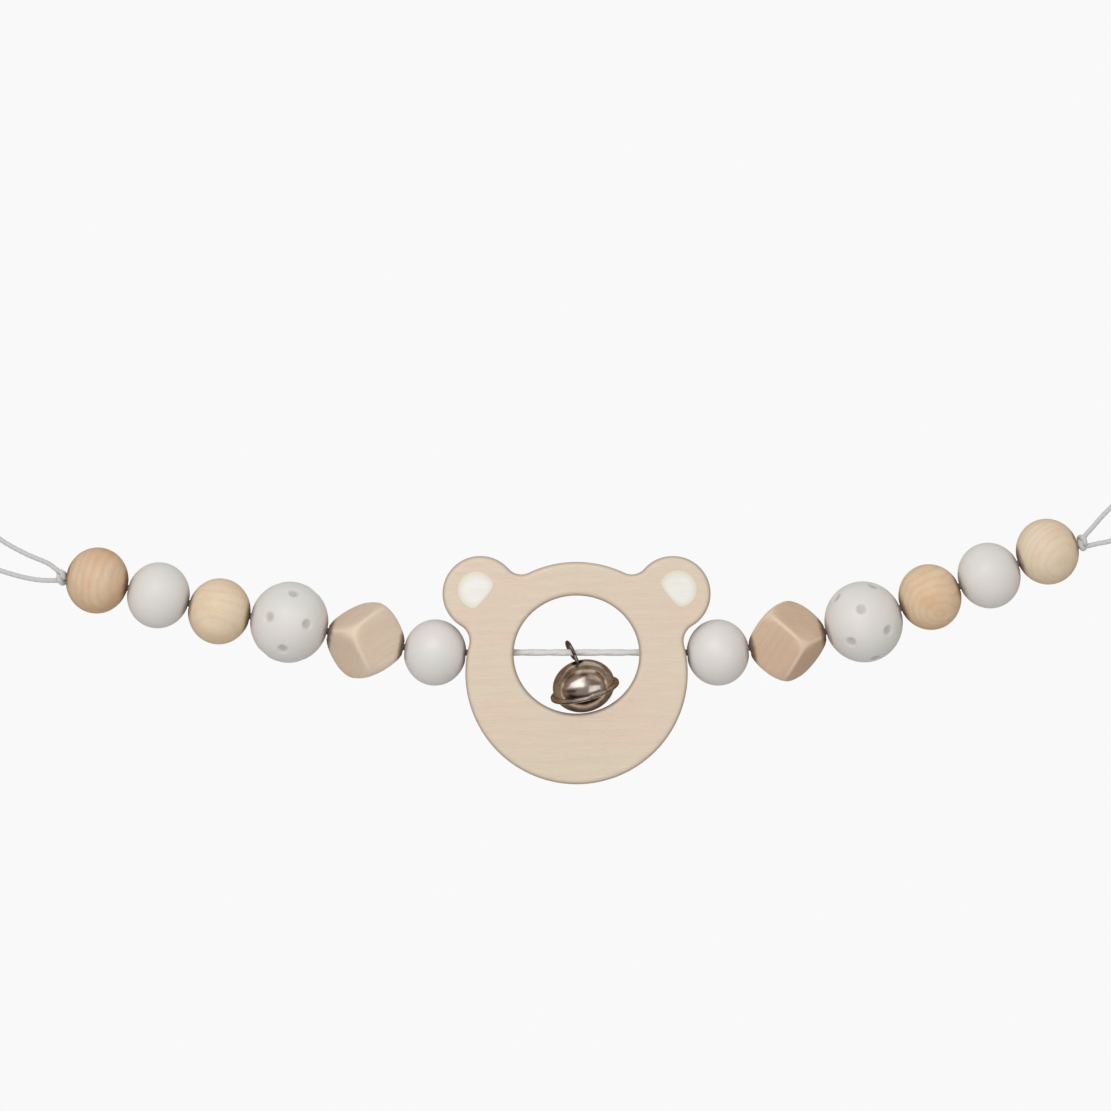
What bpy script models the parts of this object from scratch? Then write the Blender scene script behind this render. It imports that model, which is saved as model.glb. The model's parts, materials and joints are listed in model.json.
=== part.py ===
"""Pram chain toy: wooden beads, a bear ring and a jingle bell on one cord between two hanging loops.

X runs along the chain, Z is up and the front looks towards -Y. The chain is modelled as it hangs.
The origin is midway between the two points that the end loops hang from.
"""

import math

import bmesh
import bpy
from mathutils import Matrix, Vector

# Round beads, in metres like every length here, each a little wider than it is long along its bore
SMALL_BEAD_RADIUS = 0.0106
SMALL_BEAD_HALF_LENGTH = 0.0100
LARGE_BEAD_RADIUS = 0.0130
LARGE_BEAD_HALF_LENGTH = 0.0125
BEAD_BORE_RADIUS = 0.0020
BORE_CHAMFER = 0.0004

# Dimples of the large beads: four on the equator and four on a ring to each side
DIMPLE_RADIUS = 0.0012
DIMPLE_DEPTH = 0.0009
DIMPLE_LATITUDE = math.radians(29)
DIMPLES_PER_RING = 4

# Cube beads, bored from corner to corner, their corners and edges turned off to a ball
CUBE_SIDE = 0.0195
CUBE_BALL_RADIUS = 0.0126

# Bear ring: a round head with two ears, an oval hole and a bore through each side wall
RING_RADIUS = 0.0355
RING_THICKNESS = 0.0120
RING_EDGE_ROUND = 0.0012
RING_DROP = 0.0065
RING_BORE_RADIUS = 0.0015
HOLE_HALF_WIDTH = 0.02015
HOLE_HALF_HEIGHT = 0.01895
HOLE_DROP = 0.0007
EAR_RADIUS = 0.0120
EAR_OUTREACH = 0.0044
EAR_BEAD_GAP = 0.00118
EAR_FILLET = 0.0055

# Painted ear patches, each an enamel film in a shallow pocket of the ear's front
PATCH_RADIUS = 0.0058
PATCH_SHIFT = 0.0022
PATCH_CHORD = 0.0037
POCKET_DEPTH = 0.0006
FILM_THICKNESS = 0.0003
FILM_GAP = 0.0003

# Cord and knots
STRING_RADIUS = 0.0010
STRAND_RADIUS = 0.00080
KNOT_RADIUS = 0.0029
KNOT_HALF_THICKNESS = 0.0013
KNOT_GAP = 0.0003
STRING_END_GAP = 0.0004

# Clearances between neighbours on the cord, measured along the line between their centres
BEAD_GAP = 0.00015
RING_BEAD_GAP = 0.00035

# Jingle bell: two pressed shells, a wire eyelet through the crown and a loose pellet
BELL_RADIUS = 0.0100
BELL_WALL = 0.0007
BELL_OFFSET = 0.0023
BELL_LEAN = math.radians(14.5)
BELL_TILT = math.radians(16)
BELL_SEAT_GAP = 0.0004
CROWN_DROP = 0.0030
FLANGE_WIDTH = 0.0013
FLANGE_THICKNESS = 0.00045
FLANGE_DROP = 0.0015
SEAM_GAP = 0.0002
CROWN_GAP = 0.0003
EYELET_WIRE_RADIUS = 0.0005
EYELET_LOOP_RADIUS = 0.0029
EYELET_LEG_SPREAD = 0.0010
EYELET_TAB_REACH = 0.0021
EYELET_LEAN = math.radians(26)
EYELET_OPENING = math.radians(30)
EYELET_SHIFT = 0.00175
EYELET_RISE = 0.0007
EYELET_FORWARD = 0.0005
SLOT_WIDTH = 0.0016
SLOT_HOLE_RADIUS = 0.0017
SLOT_ANGLE = math.radians(38)
PELLET_RADIUS = 0.0025
PELLET_GAP = 0.0003

# One overrun for every cut, and the distance under which doubled points are one
OVERRUN = 0.0010
MERGE_DISTANCE = 0.00001

# Slope of the line between neighbouring centres, from the bear ring out to the knot, in degrees
LEFT_SLOPES = (10.0, 13.3, 8.8, 14.8, 13.6, 5.0)
RIGHT_SLOPES = (9.3, 14.2, 20.5, 20.0, 22.3, 14.0)

# How far each patterned bead is rolled about its bore, in degrees
CUBE_ROLL = -81.0
LEFT_DIMPLE_ROLL = 48.0
RIGHT_DIMPLE_ROLL = 110.0

# Route of each end loop, across and up from its knot's centre, in metres
LEFT_ROUTE = (
    (-0.0019, 0.0028),
    (-0.0034, 0.0040),
    (-0.0053, 0.0050),
    (-0.0080, 0.0061),
    (-0.0110, 0.0074),
    (-0.0174, 0.0108),
    (-0.0240, 0.0155),
    (-0.0310, 0.0211),
    (-0.0370, 0.0260),
    (-0.0407, 0.0271),
    (-0.0437, 0.0253),
    (-0.0446, 0.0222),
    (-0.0430, 0.0190),
    (-0.0365, 0.0128),
    (-0.0300, 0.0075),
    (-0.0235, 0.0038),
    (-0.0174, 0.0015),
    (-0.0110, -0.0002),
    (-0.0064, -0.0009),
    (-0.0020, -0.0010),
)
RIGHT_ROUTE = (
    (0.0014, 0.0030),
    (0.0034, 0.0052),
    (0.0058, 0.0080),
    (0.0086, 0.0109),
    (0.0130, 0.0152),
    (0.0200, 0.0222),
    (0.0270, 0.0295),
    (0.0322, 0.0339),
    (0.0359, 0.0339),
    (0.0385, 0.0314),
    (0.0383, 0.0275),
    (0.0350, 0.0218),
    (0.0290, 0.0145),
    (0.0215, 0.0075),
    (0.0145, 0.0027),
    (0.0085, 0.0005),
    (0.0050, -0.0002),
    (0.0020, -0.0009),
)
LEFT_HANG = (-0.0400, 0.0225)
RIGHT_HANG = (0.0337, 0.0292)

# Points along each bend, in counts
BEAD_STEPS = 20
BEAD_ARC_STEPS = 11
DIMPLED_STEPS = 24
DIMPLE_STEPS = 10
CUBE_BALL_STEPS = 28
SMALL_BORE_STEPS = 16
HEAD_STEPS = 40
CROWN_STEPS = 6
EAR_STEPS = 18
FILLET_STEPS = 5
HOLE_STEPS = 44
PATCH_STEPS = 22
BELL_STEPS = 24
BELL_ARC_STEPS = 7
EYELET_STEPS = 8
PELLET_STEPS = 14
KNOT_STEPS = 14
SEAT_SAMPLES = 120
SEAT_ROUNDS = 12
CURVE_SAMPLES = 12

# Spacing of a cord's points, in diameters
CORD_STEP_SHARE = 2.5


def start_scene(name):
    """An empty scene with one collection for the parts and one for the cutters and pivots."""
    for thing in list(bpy.data.objects):
        bpy.data.objects.remove(thing, do_unlink=True)
    parts = bpy.data.collections.new(name)
    helpers = bpy.data.collections.new(name + "_helpers")
    for collection in (parts, helpers):
        bpy.context.scene.collection.children.link(collection)
    return parts, helpers


def finish(name, colour, roughness, metallic=0.0):
    """A plain Principled material for one piece."""
    material = bpy.data.materials.new(name)
    material.use_nodes = True
    shader = material.node_tree.nodes["Principled BSDF"]
    shader.inputs["Base Color"].default_value = (*colour, 1.0)
    shader.inputs["Roughness"].default_value = roughness
    shader.inputs["Metallic"].default_value = metallic
    return material


def add_piece(name, data, look, pivot=None):
    """One named sub-part, placed by the pivot that carries it."""
    piece = bpy.data.objects.new(name, data)
    PARTS.objects.link(piece)
    piece.data.materials.append(finish(name, *look))
    piece.parent = pivot
    return piece


def add_pivot(name, place):
    """An empty on a joint's axis."""
    pivot = bpy.data.objects.new(name, None)
    pivot.matrix_world = place
    HELPERS.objects.link(pivot)
    return pivot


def add_cutter(name, data, pivot=None):
    """A helper solid that only cuts."""
    cutter = bpy.data.objects.new(name, data)
    HELPERS.objects.link(cutter)
    cutter.hide_render = True
    cutter.display_type = "WIRE"
    cutter.parent = pivot
    return cutter


def cut(piece, cutter, operation="DIFFERENCE"):
    boolean = piece.modifiers.new(cutter.name, "BOOLEAN")
    boolean.operation = operation
    boolean.solver = "EXACT"
    boolean.object = cutter


def mesh_of(name, build):
    """A mesh filled by one function that works on a bmesh."""
    shape = bmesh.new()
    build(shape)
    mesh = bpy.data.meshes.new(name)
    shape.to_mesh(mesh)
    shape.free()
    return mesh


def add_ball(shape, radius, steps, place):
    """A ball with its poles on its own Z."""
    bmesh.ops.create_uvsphere(
        shape, u_segments=steps, v_segments=round(steps * 2 / 3), radius=radius, matrix=place
    )


def cylinder(name, radius, length, place, sides=BEAD_STEPS):
    """A capped cylinder along its own Z, put in place."""

    def build(shape):
        bmesh.ops.create_cone(
            shape,
            cap_ends=True,
            segments=sides,
            radius1=radius,
            radius2=radius,
            depth=length,
            matrix=place,
        )

    return mesh_of(name, build)


def turned(name, profile, steps, look, pivot, closed):
    """A profile of (radius, height) turned about Z: down its outer side, top to bottom."""
    mesh = bpy.data.meshes.new(name)
    count = len(profile)
    edges = [(i, i + 1) for i in range(count - 1)]
    if closed:
        edges.append((count - 1, 0))
    mesh.from_pydata([(radius, 0, height) for radius, height in profile], edges, [])
    piece = add_piece(name, mesh, look, pivot)
    screw = piece.modifiers.new("turn", "SCREW")
    screw.steps = steps
    screw.render_steps = steps
    screw.use_merge_vertices = True
    screw.merge_threshold = MERGE_DISTANCE
    screw.use_smooth_shade = True
    weld = piece.modifiers.new("poles", "WELD")
    weld.merge_threshold = MERGE_DISTANCE
    return piece


def along(direction):
    """The turn that brings +Z onto a direction."""
    return Vector((0, 0, 1)).rotation_difference(direction).to_matrix().to_4x4()


def slope_direction(side, degrees):
    angle = math.radians(degrees)
    return Vector((side * math.cos(angle), 0, math.sin(angle)))


def cube_reach():
    """From a cube bead's centre to the rim of its bore, on the ball that its corners are turned to."""
    return math.sqrt(CUBE_BALL_RADIUS**2 - BEAD_BORE_RADIUS**2)


def ear_reach():
    """From the head's centre to an ear's."""
    return RING_RADIUS + EAR_OUTREACH


def ring_half_width():
    """From the bear ring's middle to its outer side at the height of the cord."""
    return math.sqrt(RING_RADIUS**2 - RING_DROP**2)


def ear_angle():
    """How far an ear leans from upright: as low as it clears the bead beside the ring."""
    bead = (ring_half_width() + RING_BEAD_GAP + SMALL_BEAD_HALF_LENGTH, RING_DROP)
    span = math.hypot(*bead)
    apart = EAR_RADIUS + EAR_BEAD_GAP + SMALL_BEAD_RADIUS
    opening = math.acos((ear_reach() ** 2 + span**2 - apart**2) / (2 * ear_reach() * span))
    return math.atan2(*bead) - opening


def walk(side, slopes):
    """Bead centres, bore directions, knot centre and where the beads meet on the cord, ring outwards."""
    reaches = [SMALL_BEAD_HALF_LENGTH, cube_reach(), LARGE_BEAD_HALF_LENGTH]
    reaches += [SMALL_BEAD_HALF_LENGTH] * 3
    level = Vector((side, 0, 0))
    links = [level] + [slope_direction(side, degrees) for degrees in slopes]
    centre = level * (ring_half_width() + RING_BEAD_GAP + reaches[0])
    contacts = [(level * ring_half_width(), level)]
    centres = []
    bores = []
    for index, reach in enumerate(reaches):
        out = links[index + 1]
        centres.append(centre)
        bores.append((links[index] + out).normalized())
        contacts.append((centre + out * (reach + BEAD_GAP / 2), out))
        if index + 1 < len(reaches):
            centre = centre + out * (reach + BEAD_GAP + reaches[index + 1])
    knot = centre + out * (reaches[-1] + KNOT_GAP + KNOT_HALF_THICKNESS)
    contacts[-1] = (knot - out * (KNOT_HALF_THICKNESS + STRING_END_GAP), out)
    return centres, bores, knot, contacts


def hermite(start, start_way, end, end_way, share):
    """A point of the smooth curve between two points with given directions."""
    reach = (end - start).length
    square = share * share
    cube = square * share
    return (
        start * (2 * cube - 3 * square + 1)
        + start_way * reach * (cube - 2 * square + share)
        + end * (3 * square - 2 * cube)
        + end_way * reach * (cube - square)
    )


def evenly(points, step):
    """Points at equal distances along a dense polyline, with both ends kept."""
    lengths = [0.0]
    for before, after in zip(points, points[1:]):
        lengths.append(lengths[-1] + (after - before).length)
    count = max(2, round(lengths[-1] / step))
    spaced = []
    index = 0
    for number in range(count + 1):
        wanted = lengths[-1] * number / count
        while index + 2 < len(lengths) and lengths[index + 1] < wanted:
            index += 1
        share = (wanted - lengths[index]) / (lengths[index + 1] - lengths[index])
        spaced.append(points[index].lerp(points[index + 1], share))
    return spaced


def smooth_route(route, knot):
    """A smooth curve through hand-chosen points, given across and up from a knot."""
    places = [knot + Vector((across, 0, up)) for across, up in route]
    ways = []
    for index in range(len(places)):
        before = places[max(0, index - 1)]
        after = places[min(len(places) - 1, index + 1)]
        ways.append((after - before).normalized())
    dense = []
    for index in range(len(places) - 1):
        for sample in range(CURVE_SAMPLES):
            share = sample / CURVE_SAMPLES
            dense.append(hermite(places[index], ways[index], places[index + 1], ways[index + 1], share))
    dense.append(places[-1])
    return dense


def tube(name, points, radius, look, pivot=None):
    """A round cord or wire: a bevelled curve with filled caps."""
    curve = bpy.data.curves.new(name, "CURVE")
    curve.dimensions = "3D"
    curve.bevel_depth = radius
    curve.bevel_resolution = 2
    curve.use_fill_caps = True
    spline = curve.splines.new("POLY")
    spline.points.add(len(points) - 1)
    for knob, point in zip(spline.points, points):
        knob.co = (*point, 1.0)
    return add_piece(name, curve, look, pivot)


def flat_mesh(name, outlines, thickness, middle):
    """A slab with the given outlines, facing -Y, whose middle plane lies at y = middle."""
    curve = bpy.data.curves.new(name, "CURVE")
    curve.dimensions = "2D"
    curve.fill_mode = "BOTH"
    curve.extrude = thickness / 2
    for outline in outlines:
        spline = curve.splines.new("POLY")
        spline.points.add(len(outline) - 1)
        for knob, (across, up) in zip(spline.points, outline):
            knob.co = (across, up, 0, 1)
        spline.use_cyclic_u = True
    drawn = bpy.data.objects.new(name, curve)
    HELPERS.objects.link(drawn)
    bpy.context.view_layer.update()
    evaluated = drawn.evaluated_get(bpy.context.evaluated_depsgraph_get())
    mesh = bpy.data.meshes.new_from_object(evaluated)
    bpy.data.objects.remove(drawn, do_unlink=True)
    stand_up = Matrix.Translation((0, middle, 0)) @ Matrix.Rotation(math.radians(90), 4, "X")
    shape = bmesh.new()
    shape.from_mesh(mesh)
    bmesh.ops.remove_doubles(shape, verts=shape.verts, dist=MERGE_DISTANCE)
    bmesh.ops.transform(shape, matrix=stand_up, verts=shape.verts)
    bmesh.ops.recalc_face_normals(shape, faces=shape.faces)
    shape.to_mesh(mesh)
    shape.free()
    return mesh


def arc(centre, radius, start, end, steps):
    """Points of an arc, its end left to the next piece of the outline."""
    return [
        (
            centre[0] + radius * math.cos(start + (end - start) * step / steps),
            centre[1] + radius * math.sin(start + (end - start) * step / steps),
        )
        for step in range(steps)
    ]


def bearing(centre, point):
    return math.atan2(point[1] - centre[1], point[0] - centre[0])


def arc_between(centre, radius, first, last, turning, steps):
    """The arc from facing the first point to facing the last, anticlockwise where turning is 1."""
    start = bearing(centre, first)
    sweep = turning * (bearing(centre, last) - start) % math.tau
    return arc(centre, radius, start, start + turning * sweep, steps)


def fillet_centre(head, ear, side):
    """Centre of the round that joins head and ear from outside, on one side of the line between them."""
    span = math.dist(head, ear)
    from_head = RING_RADIUS + EAR_FILLET
    from_ear = EAR_RADIUS + EAR_FILLET
    length = (span**2 + from_head**2 - from_ear**2) / (2 * span)
    height = math.sqrt(from_head**2 - length**2)
    way = ((ear[0] - head[0]) / span, (ear[1] - head[1]) / span)
    return (
        head[0] + way[0] * length - side * way[1] * height,
        head[1] + way[1] * length + side * way[0] * height,
    )


def bear_outline():
    """Head and ears with their fillets, anticlockwise from the right ear's outer fillet."""
    head = (0.0, -RING_DROP)
    across = ear_reach() * math.sin(ear_angle())
    up = ear_reach() * math.cos(ear_angle()) - RING_DROP
    right = (across, up)
    left = (-across, up)
    outer = fillet_centre(head, right, -1)
    inner = fillet_centre(head, right, 1)
    left_inner = (-inner[0], inner[1])
    left_outer = (-outer[0], outer[1])
    points = arc_between(outer, EAR_FILLET, head, right, -1, FILLET_STEPS)
    points += arc_between(right, EAR_RADIUS, outer, inner, 1, EAR_STEPS)
    points += arc_between(inner, EAR_FILLET, right, head, -1, FILLET_STEPS)
    points += arc_between(head, RING_RADIUS, inner, left_inner, 1, CROWN_STEPS)
    points += arc_between(left_inner, EAR_FILLET, head, left, -1, FILLET_STEPS)
    points += arc_between(left, EAR_RADIUS, left_inner, left_outer, 1, EAR_STEPS)
    points += arc_between(left_outer, EAR_FILLET, left, head, -1, FILLET_STEPS)
    points += arc_between(head, RING_RADIUS, left_outer, outer, 1, HEAD_STEPS)
    return points


def hole_outline():
    """The oval hole, anticlockwise, a little below the cord's height."""
    turns = [math.tau * step / HOLE_STEPS for step in range(HOLE_STEPS)]
    return [
        (HOLE_HALF_WIDTH * math.cos(turn), HOLE_HALF_HEIGHT * math.sin(turn) - HOLE_DROP) for turn in turns
    ]


def patch_outline(side, inset):
    """A round patch on an ear, cut straight across on the side of the head."""
    outward = math.radians(90) - side * ear_angle()
    reach = ear_reach() + PATCH_SHIFT
    centre = (reach * math.cos(outward), reach * math.sin(outward) - RING_DROP)
    radius = PATCH_RADIUS - inset
    half_gap = math.acos((PATCH_CHORD - inset) / radius)
    start = outward + math.pi + half_gap
    return arc(centre, radius, start, start + math.tau - 2 * half_gap, PATCH_STEPS) + [
        (
            centre[0] + radius * math.cos(start - 2 * half_gap),
            centre[1] + radius * math.sin(start - 2 * half_gap),
        )
    ]


def bead_profile(radius, half_length):
    """A bored bead: its outer oval between the chamfers, then back up the bore."""
    rim = math.asin((BEAD_BORE_RADIUS + BORE_CHAMFER) / radius)
    profile = []
    for step in range(BEAD_ARC_STEPS + 1):
        profile.append(oval(radius, half_length, rim + (math.pi - 2 * rim) * step / BEAD_ARC_STEPS))
    inside = half_length * math.cos(rim) - BORE_CHAMFER
    return profile + [(BEAD_BORE_RADIUS, -inside), (BEAD_BORE_RADIUS, inside)]


def dimple_cutters(name, roll):
    """Small balls round a large bead: a ring on its equator and one to each side, half a step round."""
    ball = (DIMPLE_RADIUS**2 + DIMPLE_DEPTH**2) / (2 * DIMPLE_DEPTH)

    def build(shape):
        for row in (-1, 0, 1):
            latitude = row * DIMPLE_LATITUDE
            surface = 1 / math.hypot(
                math.cos(latitude) / LARGE_BEAD_RADIUS, math.sin(latitude) / LARGE_BEAD_HALF_LENGTH
            )
            reach = math.sqrt(surface**2 - DIMPLE_RADIUS**2) - DIMPLE_DEPTH + ball
            for step in range(DIMPLES_PER_RING):
                angle = roll + math.tau * (step + abs(row) / 2) / DIMPLES_PER_RING
                way = Vector(
                    (
                        math.cos(latitude) * math.cos(angle),
                        math.cos(latitude) * math.sin(angle),
                        math.sin(latitude),
                    )
                )
                place = Matrix.Translation(way * reach) @ along(way)
                add_ball(shape, ball, DIMPLE_STEPS, place)

    return mesh_of(name, build)


def round_bead(name, look, pivot):
    profile = bead_profile(SMALL_BEAD_RADIUS, SMALL_BEAD_HALF_LENGTH)
    return turned(name, profile, BEAD_STEPS, look, pivot, closed=True)


def dimpled_bead(name, look, pivot, roll):
    profile = bead_profile(LARGE_BEAD_RADIUS, LARGE_BEAD_HALF_LENGTH)
    piece = turned(name, profile, DIMPLED_STEPS, look, pivot, closed=True)
    cut(piece, add_cutter(name + "_cutter", dimple_cutters(name, roll), pivot))
    return piece


def cube_bead(name, look, pivot):
    """A cube stood on its corner and turned off to a ball, with its bore along the long diagonal."""
    diagonal = Vector((1, 1, 1)).rotation_difference(Vector((0, 0, 1))).to_matrix().to_4x4()
    outer_corner = diagonal @ Vector((1, 1, -1))
    roll = math.radians(CUBE_ROLL) - math.atan2(outer_corner.y, outer_corner.x)
    stood = Matrix.Rotation(roll, 4, "Z") @ diagonal
    mesh = mesh_of(name, lambda shape: bmesh.ops.create_cube(shape, size=CUBE_SIDE, matrix=stood))
    piece = add_piece(name, mesh, look, pivot)
    middle = Matrix.Identity(4)
    ball = mesh_of(name, lambda shape: add_ball(shape, CUBE_BALL_RADIUS, CUBE_BALL_STEPS, middle))
    cut(piece, add_cutter(name + "_ball_cutter", ball, pivot), "INTERSECT")
    bore = cylinder(name + "_bore", BEAD_BORE_RADIUS, 2 * (CUBE_BALL_RADIUS + OVERRUN), middle)
    cut(piece, add_cutter(name + "_bore_cutter", bore, pivot))
    return piece


def beads(side_name, side, centres, bores, dimple_roll):
    """Six beads of one side, from the bear ring outwards, each on a pivot along its own bore."""
    kinds = (
        ("inner_white", "round", WHITE_PAINT),
        ("cube", "cube", WOOD),
        ("dimpled", "dimpled", WHITE_PAINT),
        ("inner_wood", "round", WOOD),
        ("outer_white", "round", WHITE_PAINT),
        ("outer_wood", "round", WOOD),
    )
    for (kind, shape, look), centre, bore in zip(kinds, centres, bores):
        name = f"{side_name}_{kind}_bead"
        pivot = add_pivot(name + "_axis", Matrix.Translation(centre) @ along(bore))
        if shape == "cube":
            cube_bead(name, look, pivot)
        elif shape == "dimpled":
            dimpled_bead(name, look, pivot, math.radians(-side * dimple_roll))
        else:
            round_bead(name, look, pivot)


def bear_ring(middle):
    """The flat wooden ring with its ears, edges rounded, bored for the cord and pocketed for the paint."""
    pivot = add_pivot("bear_ring_axis", Matrix.Translation(middle))
    slab = flat_mesh("bear_ring", (bear_outline(), hole_outline()), RING_THICKNESS, 0)
    ring = add_piece("bear_ring", slab, PALE_WOOD, pivot)
    rounding = ring.modifiers.new("rounding", "BEVEL")
    rounding.width = RING_EDGE_ROUND
    rounding.segments = 2
    rounding.limit_method = "ANGLE"
    rounding.angle_limit = math.radians(60)
    sideways = Matrix.Rotation(math.radians(90), 4, "Y")
    bore = cylinder("bear_bore", RING_BORE_RADIUS, 2 * (RING_RADIUS + OVERRUN), sideways, SMALL_BORE_STEPS)
    cut(ring, add_cutter("bear_bore_cutter", bore, pivot))
    front = -RING_THICKNESS / 2
    for side_name, side in (("left", -1), ("right", 1)):
        depth = POCKET_DEPTH + OVERRUN
        pocket_middle = front + POCKET_DEPTH - depth / 2
        pocket = flat_mesh("pocket", (patch_outline(side, 0),), depth, pocket_middle)
        cut(ring, add_cutter(f"ear_pocket_{side_name}_cutter", pocket, pivot))
        name = f"ear_patch_{side_name}"
        film_middle = front + FILM_THICKNESS / 2
        film = flat_mesh(name, (patch_outline(side, FILM_GAP),), FILM_THICKNESS, film_middle)
        add_piece(name, film, EAR_PAINT, pivot)


def oval(radius, height, angle):
    """A point of an upright oval, the angle measured from its top."""
    return radius * math.sin(angle), height * math.cos(angle)


def oval_arc(radius, height, start, end):
    return [
        oval(radius, height, start + (end - start) * step / BELL_ARC_STEPS)
        for step in range(BELL_ARC_STEPS + 1)
    ]


def bell_half_profiles(half_height):
    """Closed outline of the upper shell and open outline of the lower one, each down its outer side."""
    crown_radius = EYELET_LEG_SPREAD + EYELET_WIRE_RADIUS + CROWN_GAP
    inner_radius = BELL_RADIUS - BELL_WALL
    inner_height = half_height - BELL_WALL
    seam_top = SEAM_GAP / 2 - FLANGE_DROP
    seam_bottom = -SEAM_GAP / 2 - FLANGE_DROP
    flange_top = seam_top + FLANGE_THICKNESS
    flange_bottom = seam_bottom - FLANGE_THICKNESS
    flange_radius = BELL_RADIUS + FLANGE_WIDTH
    crown = math.asin(crown_radius / BELL_RADIUS)
    inner_crown = math.asin(crown_radius / inner_radius)
    upper = oval_arc(BELL_RADIUS, half_height, crown, math.acos(flange_top / half_height))
    upper += [(flange_radius, flange_top), (flange_radius, seam_top)]
    upper += oval_arc(inner_radius, inner_height, math.acos(seam_top / inner_height), inner_crown)
    lower = oval_arc(inner_radius, inner_height, math.pi, math.acos(seam_bottom / inner_height))
    lower += [(flange_radius, seam_bottom), (flange_radius, flange_bottom)]
    lower += oval_arc(BELL_RADIUS, half_height, math.acos(flange_bottom / half_height), math.pi)
    return upper, lower


def bell_direction():
    """The bell's axis, from its centre to its crown: it leans to the left and tilts to the front."""
    return Vector(
        (
            -math.sin(BELL_LEAN),
            -math.cos(BELL_LEAN) * math.sin(BELL_TILT),
            math.cos(BELL_LEAN) * math.cos(BELL_TILT),
        )
    )


def bell_centre_height(axis, half_height):
    """The height of the bell's centre when its outline, seen from the front, lies clear of the wood."""
    flat = math.hypot(axis.x, axis.z)
    seen_height = math.hypot(half_height * flat, BELL_RADIUS * axis.y)
    turns = [math.tau * step / SEAT_SAMPLES for step in range(SEAT_SAMPLES)]
    outline = [oval(BELL_RADIUS, seen_height, turn) for turn in turns]
    flange_bottom = -(FLANGE_DROP + SEAM_GAP / 2 + FLANGE_THICKNESS) * flat
    flange_radius = BELL_RADIUS + FLANGE_WIDTH
    outline += [(flange_radius, flange_bottom), (-flange_radius, flange_bottom)]
    height = -HOLE_HALF_HEIGHT
    for across, up in outline:
        x = BELL_OFFSET + (across * axis.z + up * axis.x) / flat
        z = (up * axis.z - across * axis.x) / flat
        floor = -HOLE_DROP - HOLE_HALF_HEIGHT * math.sqrt(1 - (x / HOLE_HALF_WIDTH) ** 2)
        height = max(height, floor + BELL_SEAT_GAP - z)
    return height


def bell_half_height(axis):
    """Half the height of a bell that fills the room between its crown and the wood below it."""
    half_height = BELL_RADIUS
    for _ in range(SEAT_ROUNDS):
        crown_height = bell_centre_height(axis, half_height) + half_height * axis.z
        half_height -= (crown_height + CROWN_DROP) / (2 * axis.z)
    return half_height


def eyelet_points(crown, axis):
    """The wire's line about the cord: from a tab inside the crown, up, round the cord and down again."""
    lean = Vector((-math.sin(EYELET_LEAN), 0, math.cos(EYELET_LEAN)))
    depth = Vector((0, 1, 0))
    spread = (depth - axis * axis.y).normalized()
    ring = Vector((-EYELET_SHIFT, -EYELET_FORWARD, EYELET_RISE))
    down = math.atan2((crown - ring).dot(depth), (crown - ring).dot(lean))
    tab = -(BELL_WALL + CROWN_GAP + EYELET_WIRE_RADIUS + CROWN_GAP)
    leg = (
        (EYELET_TAB_REACH + EYELET_WIRE_RADIUS, tab),
        (EYELET_TAB_REACH, tab),
        (EYELET_LEG_SPREAD + EYELET_WIRE_RADIUS / 2, tab),
        (EYELET_LEG_SPREAD, tab + EYELET_WIRE_RADIUS),
        (EYELET_LEG_SPREAD, 2 * CROWN_GAP),
    )
    halves = []
    for side in (-1, 1):
        half = [crown + spread * side * across + axis * up for across, up in leg]
        for step in range(EYELET_STEPS + 1):
            opening = EYELET_OPENING + (math.pi - EYELET_OPENING) * step / EYELET_STEPS
            angle = down - side * opening
            way = lean * math.cos(angle) + depth * math.sin(angle)
            half.append(ring + way * EYELET_LOOP_RADIUS)
        halves.append(half)
    return halves[0][:-1] + halves[1][::-1]


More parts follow.
